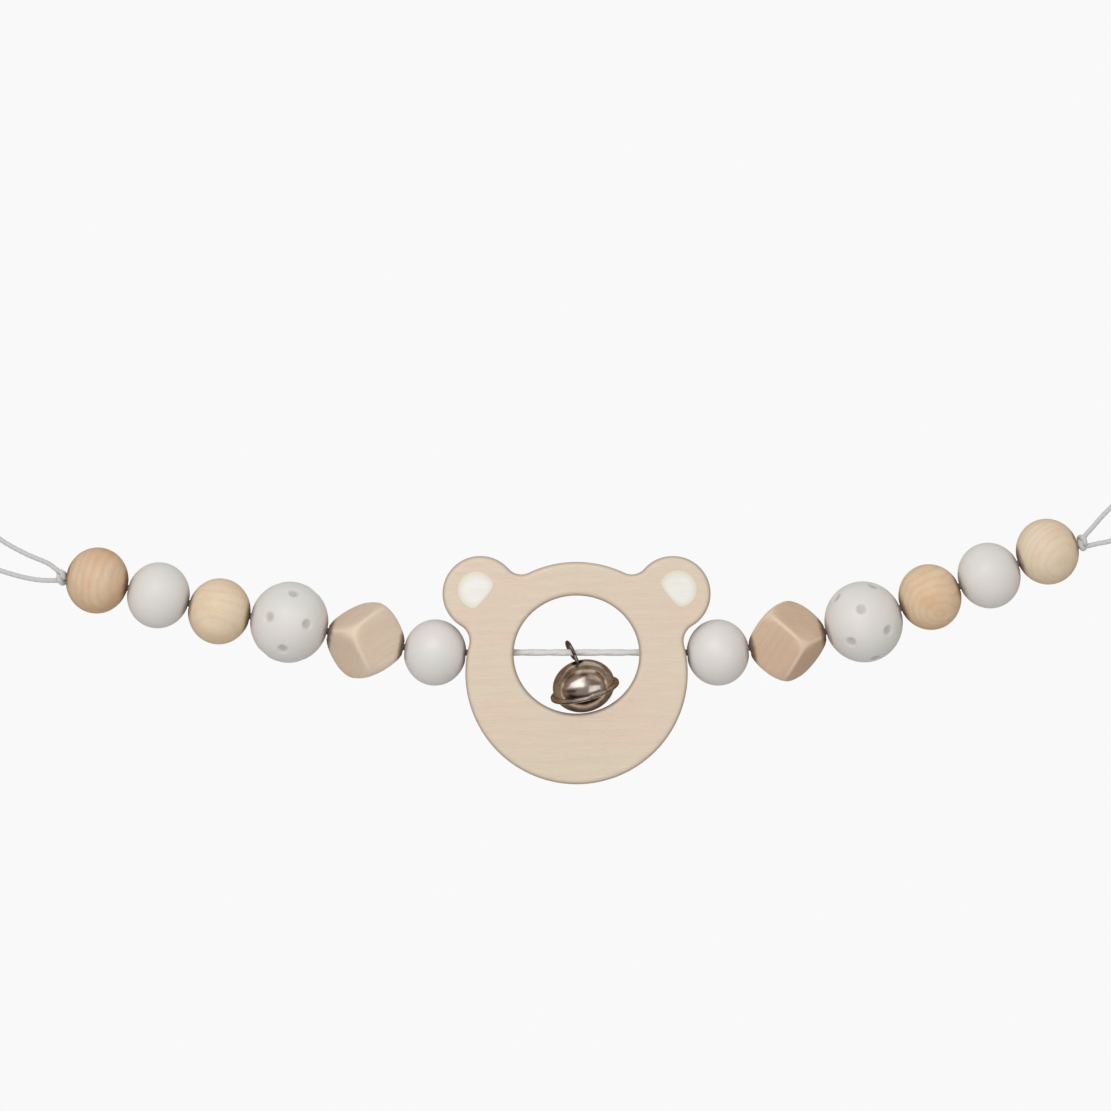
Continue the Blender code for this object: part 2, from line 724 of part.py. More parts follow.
def bell(middle):
    """The jingle bell: eyelet round the cord, two shells that meet at a flange, slots and a pellet."""
    axis = bell_direction()
    half_height = bell_half_height(axis)
    hang = Vector((BELL_OFFSET, 0, bell_centre_height(axis, half_height)))
    centre = middle + hang
    swing = add_pivot("eyelet_axis", Matrix.Translation(middle))
    tube("bell_eyelet", eyelet_points(hang + axis * half_height, axis), EYELET_WIRE_RADIUS, NICKEL, swing)
    swivel = add_pivot("bell_axis", Matrix.Translation(centre) @ along(axis))
    upper, lower = bell_half_profiles(half_height)
    turned("bell_upper_shell", upper, BELL_STEPS, NICKEL, swivel, closed=True)
    bowl = turned("bell_lower_shell", lower, BELL_STEPS, NICKEL, swivel, closed=False)
    hole_across, hole_up = oval(BELL_RADIUS, half_height, math.pi - SLOT_ANGLE)
    slot_height = half_height + hole_up + BELL_WALL + 2 * OVERRUN
    slot_middle = Matrix.Translation((0, 0, slot_height / 2 - half_height - OVERRUN))
    slot_size = Matrix.Diagonal((2 * hole_across, SLOT_WIDTH, slot_height, 1))
    slot_place = slot_middle @ slot_size
    slot = mesh_of("slot", lambda shape: bmesh.ops.create_cube(shape, size=1, matrix=slot_place))
    cut(bowl, add_cutter("bell_slot_cutter", slot, swivel))
    for side_name, side in (("left", -1), ("right", 1)):
        way = Vector((side * math.sin(SLOT_ANGLE), 0, -math.cos(SLOT_ANGLE)))
        place = Matrix.Translation((side * hole_across, 0, hole_up)) @ along(way)
        drill = cylinder("slot_hole", SLOT_HOLE_RADIUS, 2 * (BELL_WALL + OVERRUN), place, SMALL_BORE_STEPS)
        cut(bowl, add_cutter(f"bell_hole_{side_name}_cutter", drill, swivel))
    pellet_pivot = add_pivot("pellet_axis", Matrix.Translation(centre))
    slant = math.hypot(
        axis.z / (half_height - BELL_WALL),
        math.hypot(axis.x, axis.y) / (BELL_RADIUS - BELL_WALL),
    )
    drop = 1 / slant - PELLET_GAP - PELLET_RADIUS
    low = Matrix.Translation((0, 0, -drop))
    pellet = mesh_of("bell_pellet", lambda shape: add_ball(shape, PELLET_RADIUS, PELLET_STEPS, low))
    add_piece("bell_pellet", pellet, STEEL, pellet_pivot)


def knot(name, centre, swing_line):
    """The stopper knot, as a flattened ball turned about the line that the chain swings on."""
    flat = Matrix.Diagonal((KNOT_RADIUS, KNOT_RADIUS, KNOT_HALF_THICKNESS, 1))
    mesh = mesh_of(name, lambda shape: add_ball(shape, 1, KNOT_STEPS, flat))
    pivot = add_pivot(name + "_axis", Matrix.Translation(centre) @ along(swing_line))
    add_piece(name, mesh, CORD_COTTON, pivot)


# Colour, roughness and, for metal, metallic value of each finish
WOOD = ((0.66, 0.47, 0.30), 0.55)
PALE_WOOD = ((0.74, 0.60, 0.44), 0.55)
WHITE_PAINT = ((0.74, 0.70, 0.68), 0.38)
EAR_PAINT = ((0.86, 0.84, 0.82), 0.40)
CORD_COTTON = ((0.80, 0.76, 0.70), 0.75)
NICKEL = ((0.72, 0.70, 0.67), 0.12, 1.0)
STEEL = ((0.45, 0.45, 0.46), 0.30, 1.0)

PARTS, HELPERS = start_scene("pram_chain_toy")

left_centres, left_bores, left_knot, left_contacts = walk(-1, LEFT_SLOPES)
right_centres, right_bores, right_knot, right_contacts = walk(1, RIGHT_SLOPES)
left_hang = left_knot + Vector((LEFT_HANG[0], 0, LEFT_HANG[1]))
right_hang = right_knot + Vector((RIGHT_HANG[0], 0, RIGHT_HANG[1]))
bear_point = -(left_hang + right_hang) / 2
left_knot = left_knot + bear_point
right_knot = right_knot + bear_point

beads("left", -1, [centre + bear_point for centre in left_centres], left_bores, LEFT_DIMPLE_ROLL)
beads("right", 1, [centre + bear_point for centre in right_centres], right_bores, RIGHT_DIMPLE_ROLL)
bear_ring(bear_point)
bell(bear_point)

keys = [(point + bear_point, -way) for point, way in reversed(left_contacts)]
keys += [(point + bear_point, way) for point, way in right_contacts]
string_line = []
for (here, way_here), (there, way_there) in zip(keys, keys[1:]):
    for sample in range(CURVE_SAMPLES):
        string_line.append(hermite(here, way_here, there, way_there, sample / CURVE_SAMPLES))
string_line.append(keys[-1][0])
tube("string", evenly(string_line, 2 * STRING_RADIUS * CORD_STEP_SHARE), STRING_RADIUS, CORD_COTTON)

swing_line = (right_knot - left_knot).normalized()
add_pivot("chain_swing_axis", Matrix.Translation(left_knot) @ along(swing_line))
for side_name, knot_centre, route in (
    ("left", left_knot, LEFT_ROUTE),
    ("right", right_knot, RIGHT_ROUTE),
):
    knot(f"knot_{side_name}", knot_centre, swing_line)
    loop_points = evenly(smooth_route(route, knot_centre), 2 * STRAND_RADIUS * CORD_STEP_SHARE)
    tube(f"loop_{side_name}", loop_points, STRAND_RADIUS, CORD_COTTON)
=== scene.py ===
"""Looks of a pram chain: wooden beads, a bear ring and a jingle bell on a white cord.

Metres throughout. X runs along the chain, Z is up and the front looks towards -Y.
The sections follow the toy as it is threaded: cord, beads, bear ring, bell.
"""

import json
import math

import bmesh
import bpy
import numpy as np
from mathutils import Matrix, Vector


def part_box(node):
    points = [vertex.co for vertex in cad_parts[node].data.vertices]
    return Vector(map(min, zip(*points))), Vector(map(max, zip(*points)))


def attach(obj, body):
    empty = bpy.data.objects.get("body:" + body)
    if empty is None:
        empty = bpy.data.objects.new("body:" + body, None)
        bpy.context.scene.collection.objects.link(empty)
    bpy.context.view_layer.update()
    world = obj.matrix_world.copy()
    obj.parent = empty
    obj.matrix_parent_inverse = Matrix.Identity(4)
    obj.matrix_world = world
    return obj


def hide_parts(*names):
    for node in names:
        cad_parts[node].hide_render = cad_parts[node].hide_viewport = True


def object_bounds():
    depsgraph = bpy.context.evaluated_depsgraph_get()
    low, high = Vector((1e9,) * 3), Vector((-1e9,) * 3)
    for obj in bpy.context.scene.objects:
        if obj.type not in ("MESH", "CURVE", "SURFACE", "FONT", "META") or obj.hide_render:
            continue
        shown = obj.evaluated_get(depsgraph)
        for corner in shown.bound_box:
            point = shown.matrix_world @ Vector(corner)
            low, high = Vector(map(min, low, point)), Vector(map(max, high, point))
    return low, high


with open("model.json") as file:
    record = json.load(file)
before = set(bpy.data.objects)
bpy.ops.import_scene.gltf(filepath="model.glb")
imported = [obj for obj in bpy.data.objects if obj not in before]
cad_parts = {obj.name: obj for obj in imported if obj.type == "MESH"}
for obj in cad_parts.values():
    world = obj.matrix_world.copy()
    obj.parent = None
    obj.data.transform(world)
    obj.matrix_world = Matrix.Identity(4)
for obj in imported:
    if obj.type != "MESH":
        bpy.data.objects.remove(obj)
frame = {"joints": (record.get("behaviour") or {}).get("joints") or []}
cad_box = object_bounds()
joints = {joint["name"]: joint for joint in frame["joints"]}


# Camera: it looks square on to the toy's front through a long lens, level with the
# middle of the picture, which lies a little above the bear ring.
PICTURE_WIDTH = 0.3555
PICTURE_ASIDE = -0.00672
PICTURE_ABOVE = 0.03104
LENS_MM = 200
SENSOR_MM = 36


def add_object(name, data):
    """An object in the scene."""
    made = bpy.data.objects.new(name, data)
    bpy.context.scene.collection.objects.link(made)
    return made


cord_point = Vector(joints["bear_turn"]["pos_m"])
camera = add_object("camera", bpy.data.cameras.new("camera"))
camera.data.lens = LENS_MM
camera.data.sensor_width = SENSOR_MM
camera.location = cord_point + Vector(
    (PICTURE_ASIDE, -PICTURE_WIDTH * LENS_MM / SENSOR_MM, PICTURE_ABOVE)
)
camera.rotation_euler = (math.radians(90), 0, 0)
bpy.context.scene.camera = camera
bpy.context.scene.view_settings.view_transform = "Standard"


# Studio: a white surround, a soft light from the front and above, and a pale floor far below
# the hanging toy. The surround lights the toy less than it shows, so that its edges shade off.
BACKDROP_WHITE = 0.947
FILL_STRENGTH = 0.67
KEY_SIZE = 1.6
KEY_PLACE = (-0.55, -2.3, 1.15)
KEY_WATTS = 33
FLOOR_DROP = 0.40
FLOOR_RADIUS = 2.6
FLOOR_STEPS = 96
FLOOR_FADE = (0.9, 2.4)
FLOOR_PAINT = {"Base Color": (0.80, 0.80, 0.80, 1), "Roughness": 0.9, "Specular IOR Level": 0.1}
POLE_SPAN = 1e-9
POLE_WELD = 1e-8


def feed(tree, node, inputs):
    """Each input that is named is set to its value, or joined to another node's output."""
    for name, value in inputs.items():
        if isinstance(value, bpy.types.NodeSocket):
            tree.links.new(value, node.inputs[name])
        else:
            node.inputs[name].default_value = value


def add_node(tree, kind, inputs=None, **settings):
    """One node with its settings and its inputs."""
    made = tree.nodes.new(kind)
    for name, value in settings.items():
        setattr(made, name, value)
    feed(tree, made, inputs or {})
    return made


def worked(tree, operation, *values):
    """The result of one math node."""
    return add_node(tree, "ShaderNodeMath", dict(enumerate(values)), operation=operation).outputs[0]


def worked_vector(tree, operation, *values):
    """The result of one vector math node: a number for a length or a dot product, else a vector."""
    made = add_node(tree, "ShaderNodeVectorMath", dict(enumerate(values)), operation=operation)
    return made.outputs["Value" if operation in ("LENGTH", "DOT_PRODUCT") else "Vector"]


def remap(tree, value, source=(0, 1), target=(0, 1), curve="LINEAR"):
    """A value taken from the source span to the target span and held within that."""
    names = ("Value", "From Min", "From Max", "To Min", "To Max")
    inputs = dict(zip(names, (value, *source, *target)))
    return add_node(tree, "ShaderNodeMapRange", inputs, interpolation_type=curve).outputs[0]


def object_place(tree):
    """A point's place on its piece, in metres."""
    return add_node(tree, "ShaderNodeTexCoord").outputs["Object"]


def white_to_eye(tree):
    """One where a ray comes from the camera, a mirror or a glass, and nothing where it carries light."""
    path = add_node(tree, "ShaderNodeLightPath").outputs
    total = worked(tree, "ADD", path["Is Camera Ray"], path["Is Glossy Ray"])
    total = worked(tree, "ADD", total, path["Is Transmission Ray"])
    return worked(tree, "MINIMUM", total, 1.0)


def new_material(name, uniform):
    """A Principled material with its uniform values, its tree and its shader."""
    material = bpy.data.materials.new(name)
    material.use_nodes = True
    shader = material.node_tree.nodes["Principled BSDF"]
    feed(material.node_tree, shader, uniform)
    return material, material.node_tree, shader


def around(count):
    """Angles evenly spaced once round, the first not repeated at the end."""
    return np.linspace(0, math.tau, count, endpoint=False)


def lathe(reach, height, azimuth):
    """Points (reach cos a, reach sin a, height): a row for each reach and height of a profile, and
    in it one for each azimuth a. Either may also differ along the row."""
    reach, height = (np.reshape(part, (len(part), -1)) for part in (reach, height))
    parts = np.broadcast_arrays(reach * np.cos(azimuth), reach * np.sin(azimuth), height)
    return np.stack(parts, axis=-1)


def surface(name, points, loop_rows=True, loop_columns=True):
    """A mesh over a grid of points, one face to each four neighbours, its outside where the cross
    product of the step to the next row and the step to the next column points. A loop joins the
    last row or column to the first. Rows that meet in one point, at a pole, are merged there."""
    rows, columns = points.shape[:2]
    row, column = np.meshgrid(
        np.arange(rows if loop_rows else rows - 1),
        np.arange(columns if loop_columns else columns - 1),
        indexing="ij",
    )
    corner_rows = np.stack([row, row + 1, row + 1, row], axis=-1).reshape(-1, 4)
    corner_columns = np.stack([column, column, column + 1, column + 1], axis=-1).reshape(-1, 4)
    faces = (corner_rows % rows) * columns + corner_columns % columns
    mesh = bpy.data.meshes.new(name)
    mesh.from_pydata(points.reshape(-1, 3).tolist(), [], faces.tolist())
    spread = np.stack([corner_columns / columns, corner_rows / rows], axis=-1)
    mesh.uv_layers.new(name="UVMap").data.foreach_set("uv", spread.astype(np.float32).ravel())
    mesh.polygons.foreach_set("use_smooth", np.ones(len(faces), bool))
    ends = points[[0, -1]]
    if not loop_rows and np.ptp(ends, axis=1).max(axis=1).min() < POLE_SPAN:
        welded = bmesh.new()
        welded.from_mesh(mesh)
        bmesh.ops.remove_doubles(welded, verts=welded.verts, dist=POLE_WELD)
        welded.to_mesh(mesh)
        welded.free()
    mesh.update()
    return mesh


world = bpy.data.worlds.new("white_surround")
bpy.context.scene.world = world
world.use_nodes = True
tree = world.node_tree
tree.nodes.clear()
strength = remap(tree, white_to_eye(tree), (0, 1), (FILL_STRENGTH, BACKDROP_WHITE))
surround = {"Color": (1, 1, 1, 1), "Strength": strength}
background = add_node(tree, "ShaderNodeBackground", surround).outputs[0]
add_node(tree, "ShaderNodeOutputWorld", {"Surface": background})

key = add_object("key_light", bpy.data.lights.new("key_light", "AREA"))
key.data.size = KEY_SIZE
key.data.energy = KEY_WATTS
key.location = cord_point + Vector(KEY_PLACE)
key.rotation_euler = (-Vector(KEY_PLACE)).to_track_quat("-Z", "Y").to_euler()

floor_points = lathe((0, FLOOR_RADIUS), (cord_point.z - FLOOR_DROP,) * 2, around(FLOOR_STEPS))
floor = add_object("floor", surface("floor", floor_points, loop_rows=False))

finish, tree, shader = new_material("pale_floor", FLOOR_PAINT)
level = worked_vector(tree, "MULTIPLY", object_place(tree), (1, 1, 0))
fade = remap(tree, worked_vector(tree, "LENGTH", level), FLOOR_FADE, curve="SMOOTHSTEP")
hidden = worked(tree, "MULTIPLY", fade, white_to_eye(tree))
glow = add_node(tree, "ShaderNodeEmission", {"Color": (*[BACKDROP_WHITE] * 3, 1), "Strength": 1.0})
blended = {0: hidden, 1: shader.outputs[0], 2: glow.outputs[0]}
blend = add_node(tree, "ShaderNodeMixShader", blended).outputs[0]
feed(tree, tree.nodes["Material Output"], {"Surface": blend})
floor.data.materials.append(finish)


# End loops: the chain's own cord, about 1.6 mm thick, comes out of each end knot as a closed
# loop that drops over a hook or button. It is soft cotton, laid up from three plies.
STRAND_RADIUS = 0.00080
PLIES = 3
PLY_GROOVE_SHARE = 0.12
PLY_ROUNDNESS = 1.6
PLY_LAY = 0.0058
CORD_STEP = 0.00030
CORD_SIDES = 30
CURVE_STEPS = 60
LOOP_TAIL = 0.0016
LEFT_ROUTE = (
    (-0.0019, 0.0028),
    (-0.0034, 0.0040),
    (-0.0053, 0.0050),
    (-0.0080, 0.0061),
    (-0.0110, 0.0074),
    (-0.0174, 0.0108),
    (-0.0240, 0.0155),
    (-0.0310, 0.0211),
    (-0.0370, 0.0260),
    (-0.0407, 0.0271),
    (-0.0437, 0.0253),
    (-0.0446, 0.0222),
    (-0.0430, 0.0190),
    (-0.0365, 0.0128),
    (-0.0300, 0.0075),
    (-0.0235, 0.0038),
    (-0.0174, 0.0015),
    (-0.0110, -0.0002),
    (-0.0064, -0.0009),
    (-0.0020, -0.0010),
)
RIGHT_ROUTE = (
    (0.0014, 0.0030),
    (0.0034, 0.0052),
    (0.0058, 0.0080),
    (0.0086, 0.0109),
    (0.0130, 0.0152),
    (0.0200, 0.0222),
    (0.0270, 0.0295),
    (0.0322, 0.0339),
    (0.0359, 0.0339),
    (0.0385, 0.0314),
    (0.0383, 0.0275),
    (0.0350, 0.0218),
    (0.0290, 0.0145),
    (0.0215, 0.0075),
    (0.0145, 0.0027),
    (0.0085, 0.0005),
    (0.0050, -0.0002),
    (0.0020, -0.0009),
)
COTTON = {
    "Roughness": 0.88,
    "Sheen Weight": 0.25,
    "Sheen Roughness": 0.5,
    "Specular IOR Level": 0.25,
}
# The loops and knots are coloured darker than the threaded cord, as painted shade.
SHADED_LOOP_COTTON = (0.600, 0.588, 0.580)
LOOP_SHADE = (0.430, 0.420, 0.412)
CORD_CONTACT_SHADE = (0.170, 0.122, 0.088)
FIBRES_PER_METRE = 260
# A noise's scale along X, Y and Z, its detail and its roughness; a relief's height and its strength
FIBRE_NOISE = ((6, 6, 6), 5.0, 0.65)
FIBRE_SPAN = (0.30, 0.62)
FIBRE_RELIEF = (0.00008, 0.7)
BACKWARD = np.array((0.0, 1.0, 0.0))


def unit(vectors):
    """The same directions, one long."""
    return vectors / np.linalg.norm(vectors, axis=-1, keepdims=True)


def run_along(line):
    """How far along the line each of its points is."""
    return np.concatenate([[0], np.cumsum(np.linalg.norm(np.diff(line, axis=0), axis=1))])


def stood(flat, depth=0.0):
    """Points given across and up, stood upright at a depth behind the cord."""
    flat = np.asarray(flat)
    behind = np.broadcast_to(depth, flat.shape[:-1])
    return np.stack([flat[..., 0], behind, flat[..., 1]], axis=-1)


def solid_box(node):
    """Middle and size of one solid of the frame."""
    low, high = (np.array(corner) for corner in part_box(node))
    return (low + high) / 2, high - low


def smooth_line(keys, ways, step):
    """Points a step apart on the cubic curve through the keys, with the given unit directions there:
    each span blends its two ends and its two directions, which count as long as the span's chord."""
    share = np.linspace(0, 1, CURVE_STEPS, endpoint=False)[None, :, None]
    start, end = keys[:-1, None], keys[1:, None]
    reach = np.linalg.norm(end - start, axis=-1, keepdims=True)
    dense = (
        start * (2 * share**3 - 3 * share**2 + 1)
        + ways[:-1, None] * reach * (share**3 - 2 * share**2 + share)
        + end * (3 * share**2 - 2 * share**3)
        + ways[1:, None] * reach * (share**3 - share**2)
    ).reshape(-1, 3)
    dense = np.vstack([dense, keys[-1:]])
    run = run_along(dense)
    spaced = np.linspace(0, run[-1], max(2, round(run[-1] / step)) + 1)
    return np.stack([np.interp(spaced, run, dense[:, axis]) for axis in range(3)], axis=-1)


def tube(line, radius, sides, beside, closed=False):
    """A tube's grid: round each point of the line, at each angle, the radius for that point and
    angle, square to the line. Beside is a direction that the line never takes. Unless the line is a
    closed one, both ends are shut."""
    if closed:
        way = unit(np.roll(line, -1, axis=0) - np.roll(line, 1, axis=0))
    else:
        way = unit(np.gradient(line, axis=0))
    across = unit(np.cross(way, beside))
    upward = np.cross(across, way)
    angle = around(sides)[:, None]
    spoke = across[:, None] * np.cos(angle) + upward[:, None] * np.sin(angle)
    wall = line[:, None] + spoke * np.broadcast_to(radius, spoke.shape[:2])[..., None]
    if closed:
        return wall
    ends = [np.repeat(line[index][None, None], sides, axis=1) for index in (0, -1)]
    return np.concatenate([ends[0], wall, ends[1]])


def laid_radius(line, radius, plies, groove_share, lay):
    """Radius of a laid cord at each point and angle: as many rounded ridges as plies, with a groove
    between them, all turned once in each lay's length along the line."""
    turn = math.tau * run_along(line)[:, None] / lay
    ridge = np.abs(np.cos((around(CORD_SIDES) - turn) * plies / 2))
    return radius * (1 - groove_share * (1 - ridge) ** PLY_ROUNDNESS)


def add_piece(name, mesh, material, body, slot, *replaced):
    """A finished piece: it rides on its body and stands for the CAD nodes that it replaces."""
    piece = add_object(name, mesh)
    mesh.materials.append(material)
    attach(piece, body)
    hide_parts(*replaced)
    return piece


def mix_colour(tree, share, first, second, blend_type="MIX"):
    """First turned into second by the share."""
    first, second = (
        colour if isinstance(colour, bpy.types.NodeSocket) else (*colour, 1) for colour in (first, second)
    )
    inputs = {0: share, 6: first, 7: second}
    made = add_node(tree, "ShaderNodeMix", inputs, data_type="RGBA", blend_type=blend_type)
    return made.outputs[2]


def bump(tree, height, distance, strength):
    """A normal from a height, in shares of the distance."""
    inputs = {"Height": height, "Distance": distance, "Strength": strength}
    return add_node(tree, "ShaderNodeBump", inputs).outputs[0]


def noise(tree, place, scale, detail, roughness=0.5):
    """A noise with its own scale along each axis."""
    stretched = worked_vector(tree, "MULTIPLY", place, scale)
    inputs = {"Vector": stretched, "Scale": 1.0, "Detail": detail, "Roughness": roughness}
    return add_node(tree, "ShaderNodeTexNoise", inputs).outputs["Fac"]


def read_attribute(tree, name):
    """A mesh's own number for each of its points, or nothing where it has none of that name."""
    return add_node(tree, "ShaderNodeAttribute", attribute_name=name).outputs["Fac"]


def new_group(name, inputs, outputs):
    """A node group with sockets of these names and kinds, its inputs to read, and its output node."""
    group = bpy.data.node_groups.new(name, "ShaderNodeTree")
    for side, sockets in (("INPUT", inputs), ("OUTPUT", outputs)):
        for socket, kind in sockets.items():
            group.interface.new_socket(name=socket, in_out=side, socket_type=f"NodeSocket{kind}")
    given = group.nodes.new("NodeGroupInput").outputs
    return group, given, group.nodes.new("NodeGroupOutput")


def grouped(tree, group, inputs):
    """The outputs of a node group placed in the tree with its own inputs."""
    return add_node(tree, "ShaderNodeGroup", inputs, node_tree=group).outputs


def yarn_group():
    """Fine fibres on a cord's own map, whose X goes round it and whose Y along it: a noise on a
    cylinder that is Run long, wound by as many Turns as the plies are over the cord's length."""
    inputs = {"Vector": "Vector", "Turns": "Float", "Run": "Float"}
    group, given, result = new_group("yarn", inputs, {"Fibres": "Float"})
    split = add_node(group, "ShaderNodeSeparateXYZ", {0: given["Vector"]}).outputs
    share = worked(group, "MULTIPLY_ADD", split[1], given["Turns"], split[0])
    angle = worked(group, "MULTIPLY", share, math.tau)
    run = worked(group, "MULTIPLY", split[1], given["Run"])
    helix = {0: worked(group, "SINE", angle), 1: worked(group, "COSINE", angle), 2: run}
    place = add_node(group, "ShaderNodeCombineXYZ", helix).outputs[0]
    feed(group, result, {"Fibres": noise(group, place, *FIBRE_NOISE)})
    return group


YARN = yarn_group()


def cotton(name, length, lay, light, shade):
    """Cotton yarn: paler where a fibre stands up. A mesh attribute darkens it brown where it passes
    between the beads, as painted shade."""
    material, tree, shader = new_material(name, COTTON)
    spread = add_node(tree, "ShaderNodeUVMap", uv_map="UVMap").outputs[0]
    yarn = {"Vector": spread, "Turns": -length / lay, "Run": length * FIBRES_PER_METRE}
    fibres = grouped(tree, YARN, yarn)["Fibres"]
    colour = mix_colour(tree, remap(tree, fibres, FIBRE_SPAN), shade, light)
    colour = mix_colour(tree, read_attribute(tree, "contact_shade"), colour, CORD_CONTACT_SHADE)
    relief = bump(tree, fibres, *FIBRE_RELIEF)
    feed(tree, shader, {"Base Color": colour, "Normal": relief})
    return material


for side, route in (("left", LEFT_ROUTE), ("right", RIGHT_ROUTE)):
    keys = solid_box(f"knot_{side}")[0] + stood(route)
    ways = unit(np.gradient(keys, axis=0))
    line = smooth_line(keys, ways, CORD_STEP)
    length = run_along(line)[-1]
    tails = np.linspace(LOOP_TAIL, CORD_STEP, round(LOOP_TAIL / CORD_STEP))[:, None]
    whole = np.vstack([line[0] - ways[0] * tails, line, line[-1] + ways[-1] * tails[::-1]])
    radius = laid_radius(whole, STRAND_RADIUS, PLIES, PLY_GROOVE_SHARE, PLY_LAY)
    mesh = surface(f"{side}_end_loop", tube(whole, radius, CORD_SIDES, BACKWARD), loop_rows=False)
    run = length + 2 * LOOP_TAIL
    finish = cotton(f"{side}_loop_cotton", run, PLY_LAY, SHADED_LOOP_COTTON, LOOP_SHADE)
    loop = add_piece(f"{side}_end_loop", mesh, finish, "end_loops", "cotton_cord", f"loop_{side}")


# Stopper knots: the same cord, doubled, tied over and pulled into a lump that can't slip into the end
# bead's bore. The lump goes twice round the cord; the chain swings about the line through both.
KNOT_CORD_RADIUS = 0.00092
KNOT_DEPTH = 0.00078
KNOT_SHIFT = 0.00018
KNOT_STEPS = 420
KNOT_ROUNDS = 2
KNOT_CROSSINGS = 3
KNOT_TURNS_OF_LAY = 7

swing_way = unit(np.array(joints["chain_swing"]["axis"]))
upward = np.cross(swing_way, BACKWARD)
angle = around(KNOT_STEPS)[:, None]
for side, inward in (("left", 1), ("right", -1)):
    middle, size = solid_box(f"knot_{side}")
    wrap = size[1] / 2 - KNOT_CORD_RADIUS - KNOT_DEPTH * (1 - np.cos(KNOT_CROSSINGS * angle))
    line = (
        middle
        + swing_way * (inward * KNOT_SHIFT + np.sin(KNOT_CROSSINGS * angle) * KNOT_DEPTH)
        + BACKWARD * np.cos(KNOT_ROUNDS * angle) * wrap
        + upward * np.sin(KNOT_ROUNDS * angle) * wrap
    )
    run = run_along(np.vstack([line, line[:1]]))[-1]
    lay = run / KNOT_TURNS_OF_LAY
    radius = laid_radius(line, KNOT_CORD_RADIUS, PLIES, PLY_GROOVE_SHARE, lay)
    mesh = surface(f"{side}_knot", tube(line, radius, CORD_SIDES, swing_way, closed=True))
    finish = cotton(f"{side}_knot_cotton", run, lay, SHADED_LOOP_COTTON, LOOP_SHADE)
    add_piece(f"{side}_knot", mesh, finish, "end_loops", "cotton_cord", f"knot_{side}")


# Cord through the chain: the two strands of the loops run on side by side through every bead and
# through the ring, pulled thin by the weight. It shows across the ring's hole and between the beads.
STRANDS = 2
STRING_RADIUS = 0.00108
STRING_LAY = 0.0170
STRING_GROOVE_SHARE = 0.16
STRING_STEP = 0.00040
STRING_TAIL = 0.0012
STRING_COTTON = (0.735, 0.725, 0.705)
STRING_SHADE = (0.520, 0.505, 0.485)
# Painted shade: the cord is darkened brown near each bead's end, where it runs between the beads.
CONTACT_SHADE_REACH = 0.0030
CONTACT_SHADE_FADE = 0.0016
CONTACT_SHADE_MOST = 0.9
RING_BEAD_GAP = 0.00035
# A round bead's radius, and half its length along the bore
SMALL_BEAD = (0.0106, 0.0100)
LARGE_BEAD = (0.0130, 0.0125)
CUBE_BALL_RADIUS = 0.0126
BEAD_BORE_RADIUS = 0.0020
CUBE_REACH = math.sqrt(CUBE_BALL_RADIUS**2 - BEAD_BORE_RADIUS**2)
BEAD_KINDS = ("inner_white", "cube", "dimpled", "inner_wood", "outer_white", "outer_wood")
BEAD_REACH = np.array([SMALL_BEAD[1], CUBE_REACH, LARGE_BEAD[1], *[SMALL_BEAD[1]] * 3])


def write_attribute(mesh, name, values):
    """One number for each point of the mesh, for its material to read."""
    held = mesh.attributes.new(name, "FLOAT", "POINT")
    held.data.foreach_set("value", values.astype(np.float32).ravel())


halves = []
for side, name in ((-1, "left"), (1, "right")):
    centres = np.array([joints[f"{name}_{kind}_spin"]["pos_m"] for kind in BEAD_KINDS])
    knot_middle = solid_box(f"knot_{name}")[0]
    ways = unit(np.diff(np.vstack([centres, knot_middle]), axis=0))
    level = np.array((side, 0, 0))
    ring_side = centres[:1] - level * (SMALL_BEAD[1] + RING_BEAD_GAP)
    keys = np.vstack([ring_side, centres + ways * BEAD_REACH[:, None]])
    keys[-1] = knot_middle - ways[-1] * STRING_TAIL
    halves.append((keys, np.vstack([level, ways])))
keys = np.vstack([halves[0][0][::-1], halves[1][0]])
ways = np.vstack([-halves[0][1][::-1], halves[1][1]])
line = smooth_line(keys, ways, STRING_STEP)
radius = laid_radius(line, STRING_RADIUS, STRANDS, STRING_GROOVE_SHARE, STRING_LAY)
radius = radius * laid_radius(line, 1.0, STRANDS * PLIES, PLY_GROOVE_SHARE / STRANDS, PLY_LAY)
mesh = surface("threaded_cord", tube(line, radius, CORD_SIDES, BACKWARD), loop_rows=False)
points = np.array([vertex.co for vertex in mesh.vertices])
contact = np.linalg.norm(points[:, None] - keys[None], axis=-1).min(axis=1)
write_attribute(mesh, "contact_shade", np.clip((CONTACT_SHADE_REACH - contact) / CONTACT_SHADE_FADE, 0, 1) * CONTACT_SHADE_MOST)
finish = cotton("threaded_cord_cotton", run_along(line)[-1], PLY_LAY, STRING_COTTON, STRING_SHADE)
add_piece("threaded_cord", mesh, finish, "cord", "cotton_cord", "string")


